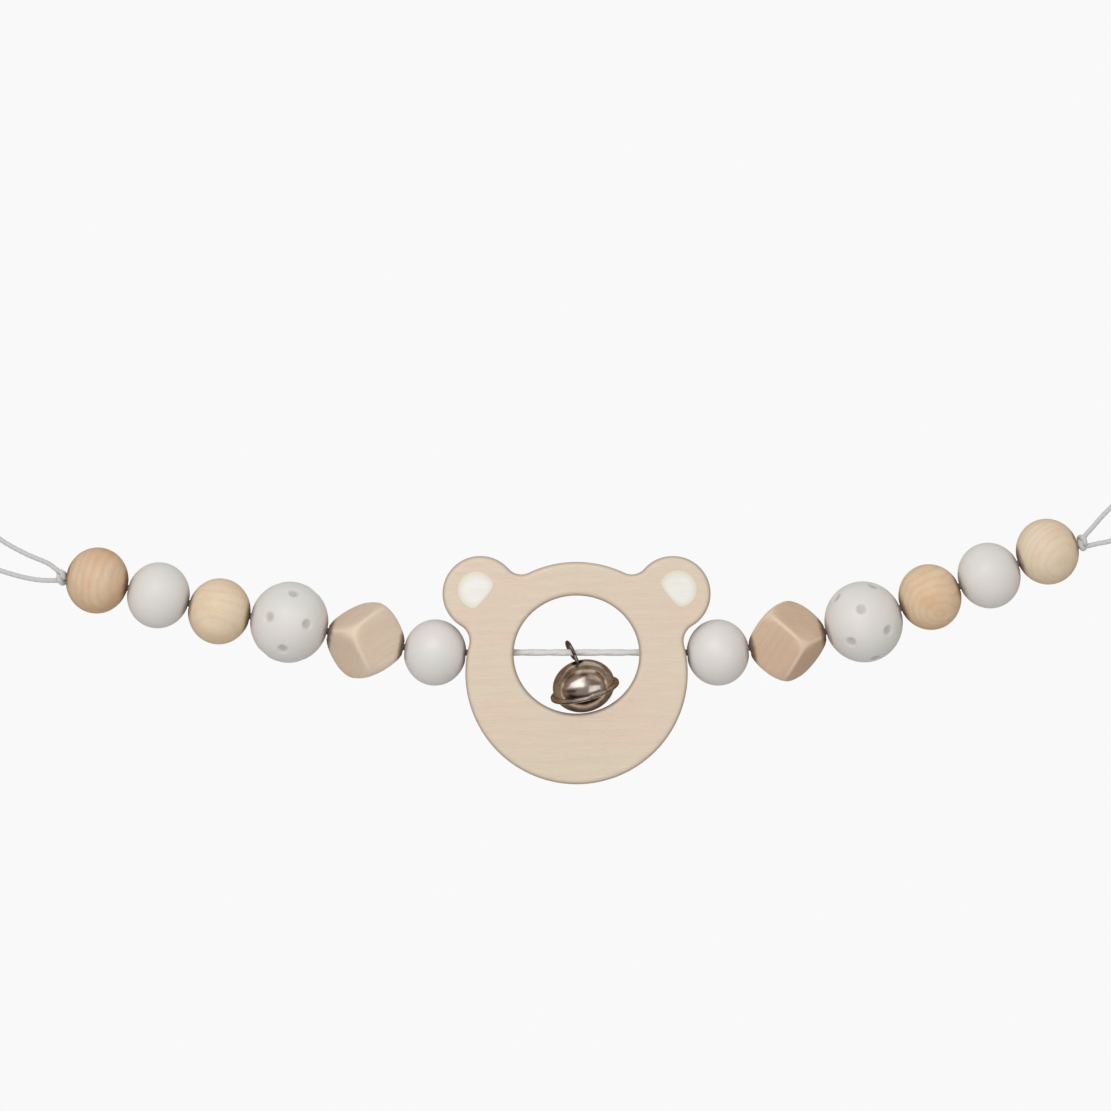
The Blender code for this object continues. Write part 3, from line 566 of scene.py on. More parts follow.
# Round wooden beads: turned from light hardwood with the bore along the grain, sanded and lightly
# oiled. No two are cut from the same place, so the rings and the tone change from bead to bead.
BORE_CHAMFER = 0.00022
BEAD_ROWS = 72
BEAD_COLUMNS = 120
CHAMFER_ROWS = 4
BORE_ROWS = 6
RING_WAVES = ((22, 90, 90), 2.0)
RING_WAVINESS = 1.5
RING_SHARPNESS = 2.4
GRAIN_MARKS = {
    # a noise along and across the grain, and the span of it that counts
    "Fibres": (((90, 2300, 2300), 4.0, 0.6), (0.28, 0.72)),
    "Flecks": (((520, 3600, 3600), 1.0), (0.60, 0.76)),
    "Cloud": (((45, 120, 120), 2.0), (0.30, 0.70)),
}
BARE_WOOD = {"Roughness": 0.5, "Specular IOR Level": 0.35}
BARE_WOOD_GLOSS = (0.58, 0.44)
RING_SHARE = 0.30
STREAK_TONES = (0.945, 1.035)
FLECK_TONES = (1.0, 0.91)
FLECK_SUNK = -0.6
GRAIN_RELIEF = (0.00004, 0.5)
# Painted shade round both ends of each bead's bore, where the beads meet.
BORE_SHADE_NOISE = ((420, 420, 420), 3.0)
BORE_SHADE_UNEVEN = 0.8
BORE_SHADE_MOST = 0.85
BORE_SHADE = (0.20, 0.125, 0.075)
BORE_SHADE_SPAN = (0.0088, 0.0102)
WOOD_BEADS = (
    # bead, light, dark, cloud, grain direction, middle's place in the block, ring width
    ("left_outer_wood", (0.66, 0.505, 0.355), (0.51, 0.345, 0.215), (0.60, 0.375, 0.215),
     (0.25, 0.35, 0.90), (0.010, 0.016, 0.012), 0.0026),
    ("left_inner_wood", (0.72, 0.600, 0.450), (0.63, 0.480, 0.325), (0.69, 0.525, 0.350),
     (0.97, 0.10, -0.20), (0.030, 0.024, 0.031), 0.0030),
    ("right_inner_wood", (0.71, 0.550, 0.385), (0.54, 0.365, 0.215), (0.64, 0.420, 0.245),
     (0.45, 0.85, 0.25), (0.050, 0.006, 0.004), 0.0024),
    ("right_outer_wood", (0.71, 0.595, 0.450), (0.59, 0.460, 0.320), (0.68, 0.520, 0.360),
     (0.75, 0.25, 0.60), (0.070, 0.034, 0.018), 0.0022),
)


def wood_grain_group():
    """Marks of wood in a block's own space, in metres, with the trunk's length along X and its pith
    on that axis. Rings: dark once in each ring width out from the pith, a little wavy. Fibres: fine
    streaks along X. Flecks: short darker dashes along X. Cloud: slow tone."""
    outputs = {name: "Float" for name in ("Rings", *GRAIN_MARKS)}
    inputs = {"Vector": "Vector", "Ring Width": "Float"}
    group, given, result = new_group("wood_grain", inputs, outputs)
    across = worked_vector(group, "MULTIPLY", given["Vector"], (0, 1, 1))
    count = worked(group, "DIVIDE", worked_vector(group, "LENGTH", across), given["Ring Width"])
    waves = noise(group, given["Vector"], *RING_WAVES)
    wavy = worked(group, "MULTIPLY_ADD", waves, RING_WAVINESS, count)
    sine = worked(group, "SINE", worked(group, "MULTIPLY", wavy, math.tau))
    feed(group, result, {"Rings": worked(group, "POWER", remap(group, sine, (-1, 1)), RING_SHARPNESS)})
    for name, (marking, span) in GRAIN_MARKS.items():
        feed(group, result, {name: remap(group, noise(group, given["Vector"], *marking), span)})
    return group


def bore_shade_group():
    """Painted shade round both ends of a bead's bore: where the height along the bore from its middle,
    made uneven by a noise, goes from Start to End, the share goes from nothing to its most."""
    inputs = {"Vector": "Vector", "Middle": "Vector", "Bore": "Vector", "Start": "Float", "End": "Float"}
    group, given, result = new_group("bore_shade", inputs, {"Share": "Float"})
    local = worked_vector(group, "SUBTRACT", given["Vector"], given["Middle"])
    height = worked(group, "ABSOLUTE", worked_vector(group, "DOT_PRODUCT", local, given["Bore"]))
    span = worked(group, "SUBTRACT", given["End"], given["Start"])
    swing = worked(group, "MULTIPLY", span, BORE_SHADE_UNEVEN)
    patches = noise(group, given["Vector"], *BORE_SHADE_NOISE)
    uneven = worked(group, "MULTIPLY_ADD", patches, swing, height)
    ends = (given["Start"], given["End"])
    feed(group, result, {"Share": remap(group, uneven, ends, (0, BORE_SHADE_MOST), "SMOOTHSTEP")})
    return group


WOOD_GRAIN = wood_grain_group()
BORE_SHADE_GROUP = bore_shade_group()


def wood_marks(tree, middle, grain, pith, ring_width):
    """The marks of wood on a piece: Object coordinates are brought into its block's space, X along
    the grain and the pith on its axis. Pith is where the piece's middle lies in the block."""
    turned = Vector(grain).rotation_difference(Vector((1, 0, 0)))
    moved = Vector(pith) - turned @ Vector(middle)
    inputs = {"Vector": object_place(tree), "Location": moved, "Rotation": turned.to_euler()}
    block = add_node(tree, "ShaderNodeMapping", inputs, vector_type="POINT").outputs[0]
    return grouped(tree, WOOD_GRAIN, {"Vector": block, "Ring Width": ring_width})


def wood(name, middle, grain, pith, tones, ring_width, ring_share=RING_SHARE):
    """Bare wood: light between the rings and dark in them, clouded with a third tone, streaked by
    fibres and flecks, which also raise the surface by a few hundredths of a millimetre."""
    light, dark, cloud = tones
    material, tree, shader = new_material(name, BARE_WOOD)
    marks = wood_marks(tree, middle, grain, pith, ring_width)
    colour = mix_colour(tree, marks["Cloud"], light, cloud)
    in_rings = worked(tree, "MULTIPLY", marks["Rings"], ring_share)
    colour = mix_colour(tree, in_rings, colour, dark)
    streak = remap(tree, marks["Fibres"], target=STREAK_TONES)
    fleck = remap(tree, marks["Flecks"], target=FLECK_TONES)
    tone = worked(tree, "MULTIPLY", streak, fleck)
    height = worked(tree, "MULTIPLY_ADD", marks["Flecks"], FLECK_SUNK, marks["Fibres"])
    made = {
        "Base Color": mix_colour(tree, 1.0, colour, tone, "MULTIPLY"),
        "Roughness": remap(tree, marks["Fibres"], target=BARE_WOOD_GLOSS),
        "Normal": bump(tree, height, *GRAIN_RELIEF),
    }
    feed(tree, shader, made)
    return material


def lay_over(material, share, colour):
    """The material's colour turned into another by the share."""
    tree = material.node_tree
    base = tree.nodes["Principled BSDF"].inputs["Base Color"]
    tree.links.new(mix_colour(tree, share, base.links[0].from_socket, colour), base)


def shade_bore_ends(material, middle, bore, span, contact_shade):
    """A bead's material painted darker round both ends of its bore as shade, over a span of height along
    it.
    """
    tree = material.node_tree
    inputs = {"Vector": object_place(tree), "Middle": tuple(middle), "Bore": tuple(bore)}
    inputs.update(zip(("Start", "End"), span))
    lay_over(material, grouped(tree, BORE_SHADE_GROUP, inputs)["Share"], contact_shade)


def bead_frame(bead):
    """A bead's middle, and its own axes as rows: Z along the bore, Y to the toy's back."""
    joint = joints[f"{bead}_spin"]
    bore = unit(np.array(joint["axis"], float))
    return np.array(joint["pos_m"]), np.stack([np.cross(BACKWARD, bore), BACKWARD, bore])


def ball_grid(radius, half_length, rows, columns):
    """Points of a bead's oval outside about Z, from the bore's rim at the top to that at the bottom:
    (radius sin f cos a, radius sin f sin a, half length cos f) for the fall f and the azimuth a."""
    rim = math.asin((BEAD_BORE_RADIUS + BORE_CHAMFER) / radius)
    fall = np.linspace(rim, math.pi - rim, rows)
    return lathe(np.sin(fall), np.cos(fall), around(columns)) * (radius, radius, half_length)


def bead_mesh(name, outside, middle, axes, **masks):
    """A bead's closed grid: its outside from one end of the bore to the other, given as rows in the
    bead's own space, then a rounded chamfer into the bore, the bore, and the chamfer at the start.
    Masks over the outside are kept as attributes, which are nothing in the bore."""
    azimuth = np.arctan2(outside[1, :, 1], outside[1, :, 0])
    angle = np.linspace(0, math.pi / 2, CHAMFER_ROWS + 1)[1:]
    reach = BEAD_BORE_RADIUS + BORE_CHAMFER * (1 - np.sin(angle))
    inset = BORE_CHAMFER * (1 - np.cos(angle))[:, None]
    bottom, top = outside[-1, :, 2] + inset, outside[0, :, 2] - inset
    share = np.linspace(0, 1, BORE_ROWS + 2)[1:-1, None]
    wall = bottom[-1] * (1 - share) + top[-1] * share
    reaches = np.concatenate([reach, np.full(BORE_ROWS, BEAD_BORE_RADIUS), reach[::-1]])
    heights = np.concatenate([bottom, wall, top[::-1]])
    grid = np.concatenate([outside, lathe(reaches, heights, azimuth)])
    mesh = surface(name, middle + grid @ axes)
    for mask, values in masks.items():
        held = np.zeros(grid.shape[:2])
        held[: len(values)] = values
        write_attribute(mesh, mask, held)
    return mesh


small_ball = ball_grid(*SMALL_BEAD, BEAD_ROWS, BEAD_COLUMNS)
for name, light, dark, cloud, grain, pith, ring_width in WOOD_BEADS:
    middle, axes = bead_frame(name)
    mesh = bead_mesh(f"{name}_turned", small_ball, middle, axes)
    finish = wood(f"{name}_oiled", middle, grain, pith, (light, dark, cloud), ring_width)
    shade_bore_ends(finish, middle, axes[2], BORE_SHADE_SPAN, BORE_SHADE)
    add_piece(f"{name}_turned", mesh, finish, name, "natural_wood", f"{name}_bead")


# White beads: the same turned beads dipped in satin white paint, which shows the grain faintly.
# It is darkened brown at the rims of the bore as painted shade, where the beads meet each other.
WHITE = (0.680, 0.630, 0.612)
WHITE_GREEN = (0.628, 0.630, 0.590)
# Painted shade at the rims of the bore.
WHITE_BORE_SHADE = (0.30, 0.22, 0.165)
WHITE_BORE_SHADE_SPAN = (-0.0010, 0.0004)
WHITE_RING_WIDTH = 0.0028
SATIN_PAINT = {
    "Roughness": 0.42,
    "Specular IOR Level": 0.4,
    "Sheen Weight": 0.22,
    "Sheen Roughness": 0.45,
}
SATIN_GLOSS = (0.38, 0.50)
PAINT_RELIEF = (0.00003, 0.35)
WHITE_BEADS = (
    # bead, middle's place in the block
    ("left_inner_white", (0.11, 0.020, 0.010)),
    ("left_outer_white", (0.16, 0.014, 0.022)),
    ("right_inner_white", (0.21, 0.018, 0.016)),
    ("right_outer_white", (0.26, 0.012, 0.026)),
)


def white_paint(name, middle, bore, pith, half_length):
    """Satin paint on wood: fibres raise it a little, its tone drifts slowly between a warm and a
    cool white, and it is darkened brown near both ends of the bore, half a length from the middle,
    as painted shade where the beads meet."""
    material, tree, shader = new_material(name, SATIN_PAINT)
    marks = wood_marks(tree, middle, bore, pith, WHITE_RING_WIDTH)
    made = {
        "Base Color": mix_colour(tree, marks["Cloud"], WHITE, WHITE_GREEN),
        "Roughness": remap(tree, marks["Cloud"], target=SATIN_GLOSS),
        "Normal": bump(tree, marks["Fibres"], *PAINT_RELIEF),
    }
    feed(tree, shader, made)
    shade_bore_ends(material, middle, bore, [half_length + end for end in WHITE_BORE_SHADE_SPAN], WHITE_BORE_SHADE)
    return material


for name, pith in WHITE_BEADS:
    middle, axes = bead_frame(name)
    mesh = bead_mesh(f"{name}_turned", small_ball, middle, axes)
    finish = white_paint(f"{name}_paint", middle, axes[2], pith, SMALL_BEAD[1])
    add_piece(f"{name}_turned", mesh, finish, name, "white_painted_wood", f"{name}_bead")


# Dimpled beads: larger white beads with shallow pits drilled before painting, four round the
# middle and four on a ring to each side, half a step round. The pits are coloured grey as painted
# shade.
DIMPLE_RADIUS = 0.0012
DIMPLE_DEPTH = 0.0006
DIMPLE_LATITUDE = math.radians(29)
DIMPLES_PER_RING = 4
DIMPLE_LIP_SHARE = 1.75
DIMPLE_ROLLS = (("left", math.radians(48)), ("right", math.radians(-110)))
DIMPLED_ROWS = 230
DIMPLED_COLUMNS = 372
DIMPLED_PITH = (0.31, 0.02, 0.02)
PIT_SHADE = (0.42, 0.365, 0.33)
PIT_SHADE_SHARE = 0.70


def eased(share):
    """A share held between nothing and one, its ends flattened: 3 s squared less 2 s cubed."""
    share = np.clip(share, 0, 1)
    return share * share * (3 - 2 * share)


ball = ball_grid(*LARGE_BEAD, DIMPLED_ROWS, DIMPLED_COLUMNS)
ways = unit(ball)
for side, roll in DIMPLE_ROLLS:
    name = f"{side}_dimpled"
    middle, axes = bead_frame(name)
    pit = np.zeros(ways.shape[:2])
    for row in (-1, 0, 1):
        latitude = row * DIMPLE_LATITUDE
        azimuth = roll + math.tau * (np.arange(DIMPLES_PER_RING) + abs(row) / 2) / DIMPLES_PER_RING
        for way in lathe([math.cos(latitude)], [math.sin(latitude)], azimuth)[0]:
            off = np.linalg.norm(ways - way, axis=-1) * LARGE_BEAD[0] / DIMPLE_RADIUS
            pit = np.maximum(pit, eased(1 - (off / DIMPLE_LIP_SHARE) ** 2))
    pitted = ball - ways * DIMPLE_DEPTH * pit[..., None]
    mesh = bead_mesh(f"{name}_turned", pitted, middle, axes, pit=pit)
    finish = white_paint(f"{name}_paint", middle, axes[2], DIMPLED_PITH, LARGE_BEAD[1])
    tree = finish.node_tree
    # Painted shade: the pits are turned grey.
    lay_over(finish, worked(tree, "MULTIPLY", read_attribute(tree, "pit"), PIT_SHADE_SHARE), PIT_SHADE)
    add_piece(f"{name}_turned", mesh, finish, name, "white_painted_wood", f"{name}_bead")


# Cube beads: wooden cubes bored from corner to corner, their corners turned off to a ball and
# their edges sanded soft. The edges are coloured paler than the faces, as sanded wood and as a
# painted highlight.
CUBE_SIDE = 0.0187
CUBE_ACROSS = 0.0133
CUBE_POWER = 20
CUBE_ROLL = math.radians(-81)
CUBE_EDGE_START = 0.86
CUBE_EDGE_FADE = 0.12
CUBE_ROWS = 190
CUBE_COLUMNS = 300
CUBE_EDGE_HIGHLIGHT = (0.73, 0.60, 0.46)
CUBE_EDGE_HIGHLIGHT_SHARE = 0.55
CUBE_RING_SHARE = 0.16
# Painted shade round both ends of the bore, where the cube meets its neighbours.
CUBE_BORE_SHADE = (0.11, 0.065, 0.038)
CUBE_BORE_SHADE_SPAN = (0.0108, 0.0124)
CUBE_BEADS = (
    # bead, light, dark, cloud, middle's place in the block, ring width
    ("left_cube", (0.665, 0.545, 0.420), (0.570, 0.440, 0.320), (0.645, 0.490, 0.365),
     (0.020, 0.055, 0.030), 0.0021),
    ("right_cube", (0.610, 0.455, 0.330), (0.500, 0.355, 0.240), (0.585, 0.405, 0.275),
     (0.060, 0.040, 0.045), 0.0024),
)

stand = Vector((1, 1, 1)).rotation_difference(Vector((0, 0, 1))).to_matrix()
corner = stand @ Vector((1, 1, -1))
roll = Matrix.Rotation(CUBE_ROLL - math.atan2(corner.y, corner.x), 3, "Z")
cube_faces = np.array(roll @ stand).T
ball = ball_grid(CUBE_ACROSS, CUBE_BALL_RADIUS, CUBE_ROWS, CUBE_COLUMNS)
lean = np.abs(ball @ cube_faces.T) * 2 / CUBE_SIDE
size = ((lean**CUBE_POWER).sum(axis=-1) + 1) ** (-1 / CUBE_POWER)
ranked = np.sort(lean, axis=-1)
close = np.maximum(ranked[..., 1] / ranked[..., 2], CUBE_EDGE_START / ranked[..., 2])
ridge = eased((close - CUBE_EDGE_START) / CUBE_EDGE_FADE)
for name, light, dark, cloud, pith, ring_width in CUBE_BEADS:
    middle, axes = bead_frame(name)
    mesh = bead_mesh(f"{name}_cut", ball * size[..., None], middle, axes, edge=ridge)
    grain = cube_faces[0] @ axes
    tones = (light, dark, cloud)
    finish = wood(f"{name}_oiled", middle, grain, pith, tones, ring_width, CUBE_RING_SHARE)
    tree = finish.node_tree
    # Painted highlight along the edges, partly the paler sanded wood.
    edge = worked(tree, "MULTIPLY", read_attribute(tree, "edge"), CUBE_EDGE_HIGHLIGHT_SHARE)
    lay_over(finish, edge, CUBE_EDGE_HIGHLIGHT)
    shade_bore_ends(finish, middle, axes[2], CUBE_BORE_SHADE_SPAN, CUBE_BORE_SHADE)
    add_piece(f"{name}_cut", mesh, finish, name, "natural_wood", f"{name}_bead")


# Bear ring: a board of pale birch, 12 mm thick, sawn as a round head with two ears and an oval
# hole, its edges rounded over and sanded. The cord goes through a bore in each side wall.
RING_RADIUS = 0.0355
RING_THICKNESS = 0.0120
RING_EDGE_ROUND = 0.0016
RING_DROP = 0.0065
RING_BORE_RADIUS = 0.0015
HOLE_HALF_SIZE = (0.02015, 0.01895)
HOLE_DROP = 0.0007
EAR_RADIUS = 0.0120
EAR_REACH = RING_RADIUS + 0.0044
EAR_ANGLE = math.radians(50.5)
EAR_FILLET = 0.0055
OUTLINE_STEP = 0.0005
EAR_GATHER = 0.4
EAR_SPREAD = 0.8
FACE_SHARES = np.concatenate([[0, 0.015, 0.06], np.linspace(0.14, 0.86, 10), [0.94, 0.985, 1]])
ROUND_STEPS = 8
ROD_SIDES = 48
ROD_BESIDE = (0.3, 0.9, 0.2)
BIRCH_TONES = ((0.645, 0.552, 0.422), (0.590, 0.470, 0.352), (0.668, 0.523, 0.418))
BIRCH_GRAIN = (1, 0.03, 0.02)
BIRCH_PITH = (0.05, 0.035, 0.060)
BIRCH_RING_WIDTH = 0.0034
BIRCH_RING_SHARE = 0.18
# Painted shade on the board's rounded edges, outer wall and hole.
BIRCH_EDGE_SHADE = (0.330, 0.265, 0.215)
BIRCH_EDGE_SHADE_SPAN = (0.97, 0.55)
BIRCH_EDGE_SHADE_SHARE = 0.55


ring_middle = np.array(cord_point)


def arc(centre, radius, first, last, turning):
    """Points of the arc round the centre from facing one point to facing another, the last left out."""
    start = math.atan2(first[1] - centre[1], first[0] - centre[0])
    stop = math.atan2(last[1] - centre[1], last[0] - centre[0])
    sweep = turning * ((turning * (stop - start)) % math.tau)
    steps = max(3, round(abs(sweep) * radius / OUTLINE_STEP))
    angle = start + sweep * np.arange(steps) / steps
    return np.stack([centre[0] + radius * np.cos(angle), centre[1] + radius * np.sin(angle)], axis=-1)


def fillet_centre(head, ear, side):
    """Centre of the round that touches head and ear from outside, to one side of the line between."""
    span = math.dist(head, ear)
    from_head = RING_RADIUS + EAR_FILLET
    run = (span**2 + from_head**2 - (EAR_RADIUS + EAR_FILLET) ** 2) / (2 * span)
    rise = math.sqrt(from_head**2 - run**2)
    way = ((ear[0] - head[0]) / span, (ear[1] - head[1]) / span)
    return (
        head[0] + way[0] * run - side * way[1] * rise,
        head[1] + way[1] * run + side * way[0] * rise,
    )


def bear_outline():
    """Head, ears and the rounds between them, anticlockwise from the front, across and up."""
    head = (0.0, -RING_DROP)
    right = (EAR_REACH * math.sin(EAR_ANGLE), EAR_REACH * math.cos(EAR_ANGLE) - RING_DROP)
    outer, inner = fillet_centre(head, right, -1), fillet_centre(head, right, 1)
    left, left_outer, left_inner = ((-across, up) for across, up in (right, outer, inner))
    return np.vstack(
        [
            arc(outer, EAR_FILLET, head, right, -1),
            arc(right, EAR_RADIUS, outer, inner, 1),
            arc(inner, EAR_FILLET, right, head, -1),
            arc(head, RING_RADIUS, inner, left_inner, 1),
            arc(left_inner, EAR_FILLET, head, left, -1),
            arc(left, EAR_RADIUS, left_inner, left_outer, 1),
            arc(left_outer, EAR_FILLET, left, head, -1),
            arc(head, RING_RADIUS, left_outer, outer, 1),
        ]
    )


def outward(outline):
    """Unit directions square to a closed anticlockwise outline, away from its inside."""
    step = np.roll(outline, -1, axis=0) - np.roll(outline, 1, axis=0)
    return unit(np.stack([step[:, 1], -step[:, 0]], axis=-1))


def ring_grid():
    """The board as a closed grid: each row is a share of the way from the hole's edge to the outline,
    drawn in from that edge by the rounding, at a depth. Rows go out over the front, back over the
    outer edge, in over the back and forward through the hole. Behind an ear the columns draw together
    on the hole, as they do in the ear's neck, so that none of them crosses another."""
    outer = bear_outline()
    hole_middle = np.array((0.0, -HOLE_DROP))
    bearing = np.unwrap(np.arctan2(*(outer - hole_middle).T[::-1]))
    for ear in (math.pi / 2 - EAR_ANGLE, math.pi / 2 + EAR_ANGLE):
        aside = (bearing - ear + math.pi) % math.tau - math.pi
        bearing = bearing - EAR_GATHER * aside * np.exp(-((aside / EAR_SPREAD) ** 4))
    half_width, half_height = HOLE_HALF_SIZE
    turn = np.arctan2(np.sin(bearing) / half_height, np.cos(bearing) / half_width)
    circle = np.stack([np.cos(turn), np.sin(turn)], axis=-1)
    inner = hole_middle + circle * HOLE_HALF_SIZE
    inner_way = unit(circle / HOLE_HALF_SIZE)
    outer_way = outward(outer)
    half = RING_THICKNESS / 2
    angle = np.linspace(0, math.pi / 2, ROUND_STEPS + 1)[1:]
    drawn_in = RING_EDGE_ROUND * (1 - np.sin(angle))
    edge = list(zip(drawn_in, half - RING_EDGE_ROUND * (1 - np.cos(angle))))
    rows = [(share, RING_EDGE_ROUND, -half) for share in FACE_SHARES]
    rows += [(1, inset, -y) for inset, y in edge] + [(1, 0, 0)]
    rows += [(1, inset, y) for inset, y in edge[::-1]]
    rows += [(share, RING_EDGE_ROUND, half) for share in FACE_SHARES[::-1]]
    rows += [(0, inset, y) for inset, y in edge] + [(0, 0, 0)]
    rows += [(0, inset, -y) for inset, y in edge[::-1]]
    share, inset, depth = np.array(rows).T[..., None, None]
    flat = (inner + inner_way * inset) * (1 - share) + (outer - outer_way * inset) * share
    return stood(flat, depth[..., 0]) + ring_middle


def cut_away(mesh, cutters):
    """The mesh with each cutter mesh taken out of it by a Boolean, which is applied."""
    body = add_object("uncut", mesh)
    helpers = [body]
    for cutter in cutters:
        tool = add_object("cutter", cutter)
        boolean = body.modifiers.new("cut", "BOOLEAN")
        boolean.operation = "DIFFERENCE"
        boolean.solver = "EXACT"
        boolean.object = tool
        helpers.append(tool)
    bpy.context.view_layer.update()
    evaluated = body.evaluated_get(bpy.context.evaluated_depsgraph_get())
    result = bpy.data.meshes.new_from_object(evaluated)
    result.name = mesh.name
    for helper in helpers:
        bpy.data.objects.remove(helper, do_unlink=True)
    return result


def rod(start, end, radius):
    """A round rod between two points, its ends closed."""
    beside = np.cross(end - start, ROD_BESIDE)
    return surface("rod", tube(np.linspace(start, end, 3), radius, ROD_SIDES, beside), loop_rows=False)


reach = np.array((RING_RADIUS + RING_EDGE_ROUND, 0, 0))
bore = rod(ring_middle - reach, ring_middle + reach, RING_BORE_RADIUS)
mesh = cut_away(surface("bear_board", ring_grid()), [bore])
finish = wood(
    "birch", cord_point, BIRCH_GRAIN, BIRCH_PITH, BIRCH_TONES, BIRCH_RING_WIDTH, BIRCH_RING_SHARE
)
tree = finish.node_tree
# Painted shade: the wood turns grey brown where its surface faces away from front and back.
normal = add_node(tree, "ShaderNodeTexCoord").outputs["Normal"]
facing = add_node(tree, "ShaderNodeSeparateXYZ", {0: normal}).outputs[1]
flat = worked(tree, "ABSOLUTE", facing)
edge_shade_share = remap(tree, flat, BIRCH_EDGE_SHADE_SPAN, (0, BIRCH_EDGE_SHADE_SHARE), "SMOOTHSTEP")
lay_over(finish, edge_shade_share, BIRCH_EDGE_SHADE)
add_piece("bear_board", mesh, finish, "bear", "pale_wood", "bear_ring")


# Ear paint: a round of white paint on the front of each ear, its side towards the head cut straight.
# It is brushed on, wears thin towards its edge and has a rounded rim of its own.
PATCH_RADIUS = 0.0058
PATCH_SHIFTS = ((-1, "left", 0.0015), (1, "right", 0.0022))
PATCH_SPREAD = 1.04
PATCH_CHORD = 0.0037
PATCH_POWER = 7.0
PAINT_PROUD = 0.00009
PAINT_SUNK = 0.00006
PAINT_STEPS = 160
PAINT_SHARES = np.array([1, 0.995, 0.985, 0.965, 0.93, 0.88, 0.82, 0.76, 0.70, 0.64, 0.58, 0.4, 0.2, 0])
PAINT_ROUND_START = 0.93
THIN_START = 0.58
THIN_POWER = 1.5
BRUSH_NOISE = ((160, 900, 900), 4.0)
BRUSH_SPAN = (0.35, 0.7)
EAR_PAINT = {"Roughness": 0.45}
EAR_PAINT_GLOSS = (0.36, 0.52)
EAR_PAINT_RELIEF = (0.00003, 0.5)
EAR_WHITE = (0.770, 0.755, 0.710)
EAR_WHITE_THIN = (0.735, 0.708, 0.645)
EAR_RIM = (0.665, 0.580, 0.455)

paint, tree, shader = new_material("ear_paint", EAR_PAINT)
streaks = noise(tree, object_place(tree), *BRUSH_NOISE)
colour = mix_colour(tree, remap(tree, streaks, BRUSH_SPAN), EAR_WHITE, EAR_WHITE_THIN)
made = {
    "Base Color": mix_colour(tree, read_attribute(tree, "thin"), colour, EAR_RIM),
    "Roughness": remap(tree, streaks, target=EAR_PAINT_GLOSS),
    "Normal": bump(tree, streaks, *EAR_PAINT_RELIEF),
}
feed(tree, shader, made)

angle = around(PAINT_STEPS)
spoke = np.stack([np.cos(angle), np.sin(angle)], axis=-1)
rounding = np.clip((PAINT_SHARES - PAINT_ROUND_START) / (1 - PAINT_ROUND_START), 0, 1)
front = PAINT_PROUD * np.sqrt(1 - rounding**2)
share = np.concatenate([PAINT_SHARES[::-1], PAINT_SHARES[1:]])[:, None, None]
depth = np.concatenate([-front[::-1], np.full(len(PAINT_SHARES) - 1, PAINT_SUNK)])[:, None]
for side, name, shift in PATCH_SHIFTS:
    way = np.array((side * math.sin(EAR_ANGLE), math.cos(EAR_ANGLE)))
    centre = way * (EAR_REACH + shift) - np.array((0, RING_DROP))
    tight = np.clip(-(spoke @ way), 0, 1) / PATCH_CHORD
    room = PATCH_SPREAD * (PATCH_RADIUS**-PATCH_POWER + tight**PATCH_POWER) ** (-1 / PATCH_POWER)
    grid = stood(centre + spoke * room[:, None] * share, depth - RING_THICKNESS / 2)
    mesh = surface(f"{name}_ear_paint", grid + ring_middle, loop_rows=False)
    points = np.array([vertex.co for vertex in mesh.vertices]) - ring_middle
    flat = points[:, ::2] - centre
    bearing = np.arctan2(flat[:, 1], flat[:, 0]) % math.tau
    worn = np.linalg.norm(flat, axis=1) / np.interp(bearing, angle, room, period=math.tau)
    thin = np.clip((worn - THIN_START) / (1 - THIN_START), 0, 1) ** THIN_POWER
    write_attribute(mesh, "thin", thin)
    add_piece(f"{name}_ear_paint", mesh, paint, "bear", "ear_paint", f"ear_patch_{name}")


# Jingle bell: two shells pressed from thin steel sheet and nickelled, which meet at a flange. The
# lower one has a slot between two round holes. It hangs a little tilted, so the flange shows.
BELL_RADIUS = 0.0100
BELL_HALF_HEIGHT = 0.00823
BELL_WALL = 0.0007
FLANGE_WIDTH = 0.0013
FLANGE_THICKNESS = 0.00028
FLANGE_DROP = 0.0015
FLANGE_ROWS = 7
SEAM_GAP = 0.0002
CROWN_RADIUS = 0.0018
BELL_COLUMNS = 160
BELL_ROWS = 40
SLOT_WIDTH = 0.0016
SLOT_HOLE_RADIUS = 0.0017
SLOT_ANGLE = math.radians(38)
SLOT_OVERRUN = 0.0010
NICKEL = (0.72, 0.655, 0.59)
NICKEL_TARNISH = (0.33, 0.235, 0.165)
NICKEL_ROUGHNESS = 0.13
TARNISH_NOISE = ((260, 260, 260), 4.0)
TARNISH_SPAN = (0.45, 0.75)
TARNISH_GLOSS = (-0.03, 0.10)
SCRATCH_NOISE = ((900, 900, 5200), 3.0)
SCRATCH_RELIEF = (0.000004, 0.4)

bell_middle = np.array(joints["bell_swivel"]["pos_m"])
bell_way = Vector(joints["bell_swivel"]["axis"]).normalized()
bell_axes = np.array(Vector((0, 0, 1)).rotation_difference(bell_way).to_matrix()).T


def plate_wear_group():
    """Wear of bright plate, in metres from a piece's middle. Clouds: a soft noise of tarnish.
    Scratches: a noise drawn out along X and Y, as hairs that go round the piece."""
    outputs = {"Clouds": "Float", "Scratches": "Float"}
    group, given, result = new_group("plate_wear", {"Vector": "Vector"}, outputs)
    clouds = noise(group, given["Vector"], *TARNISH_NOISE)
    scratches = noise(group, given["Vector"], *SCRATCH_NOISE)
    feed(group, result, {"Clouds": clouds, "Scratches": scratches})
    return group


PLATE_WEAR = plate_wear_group()


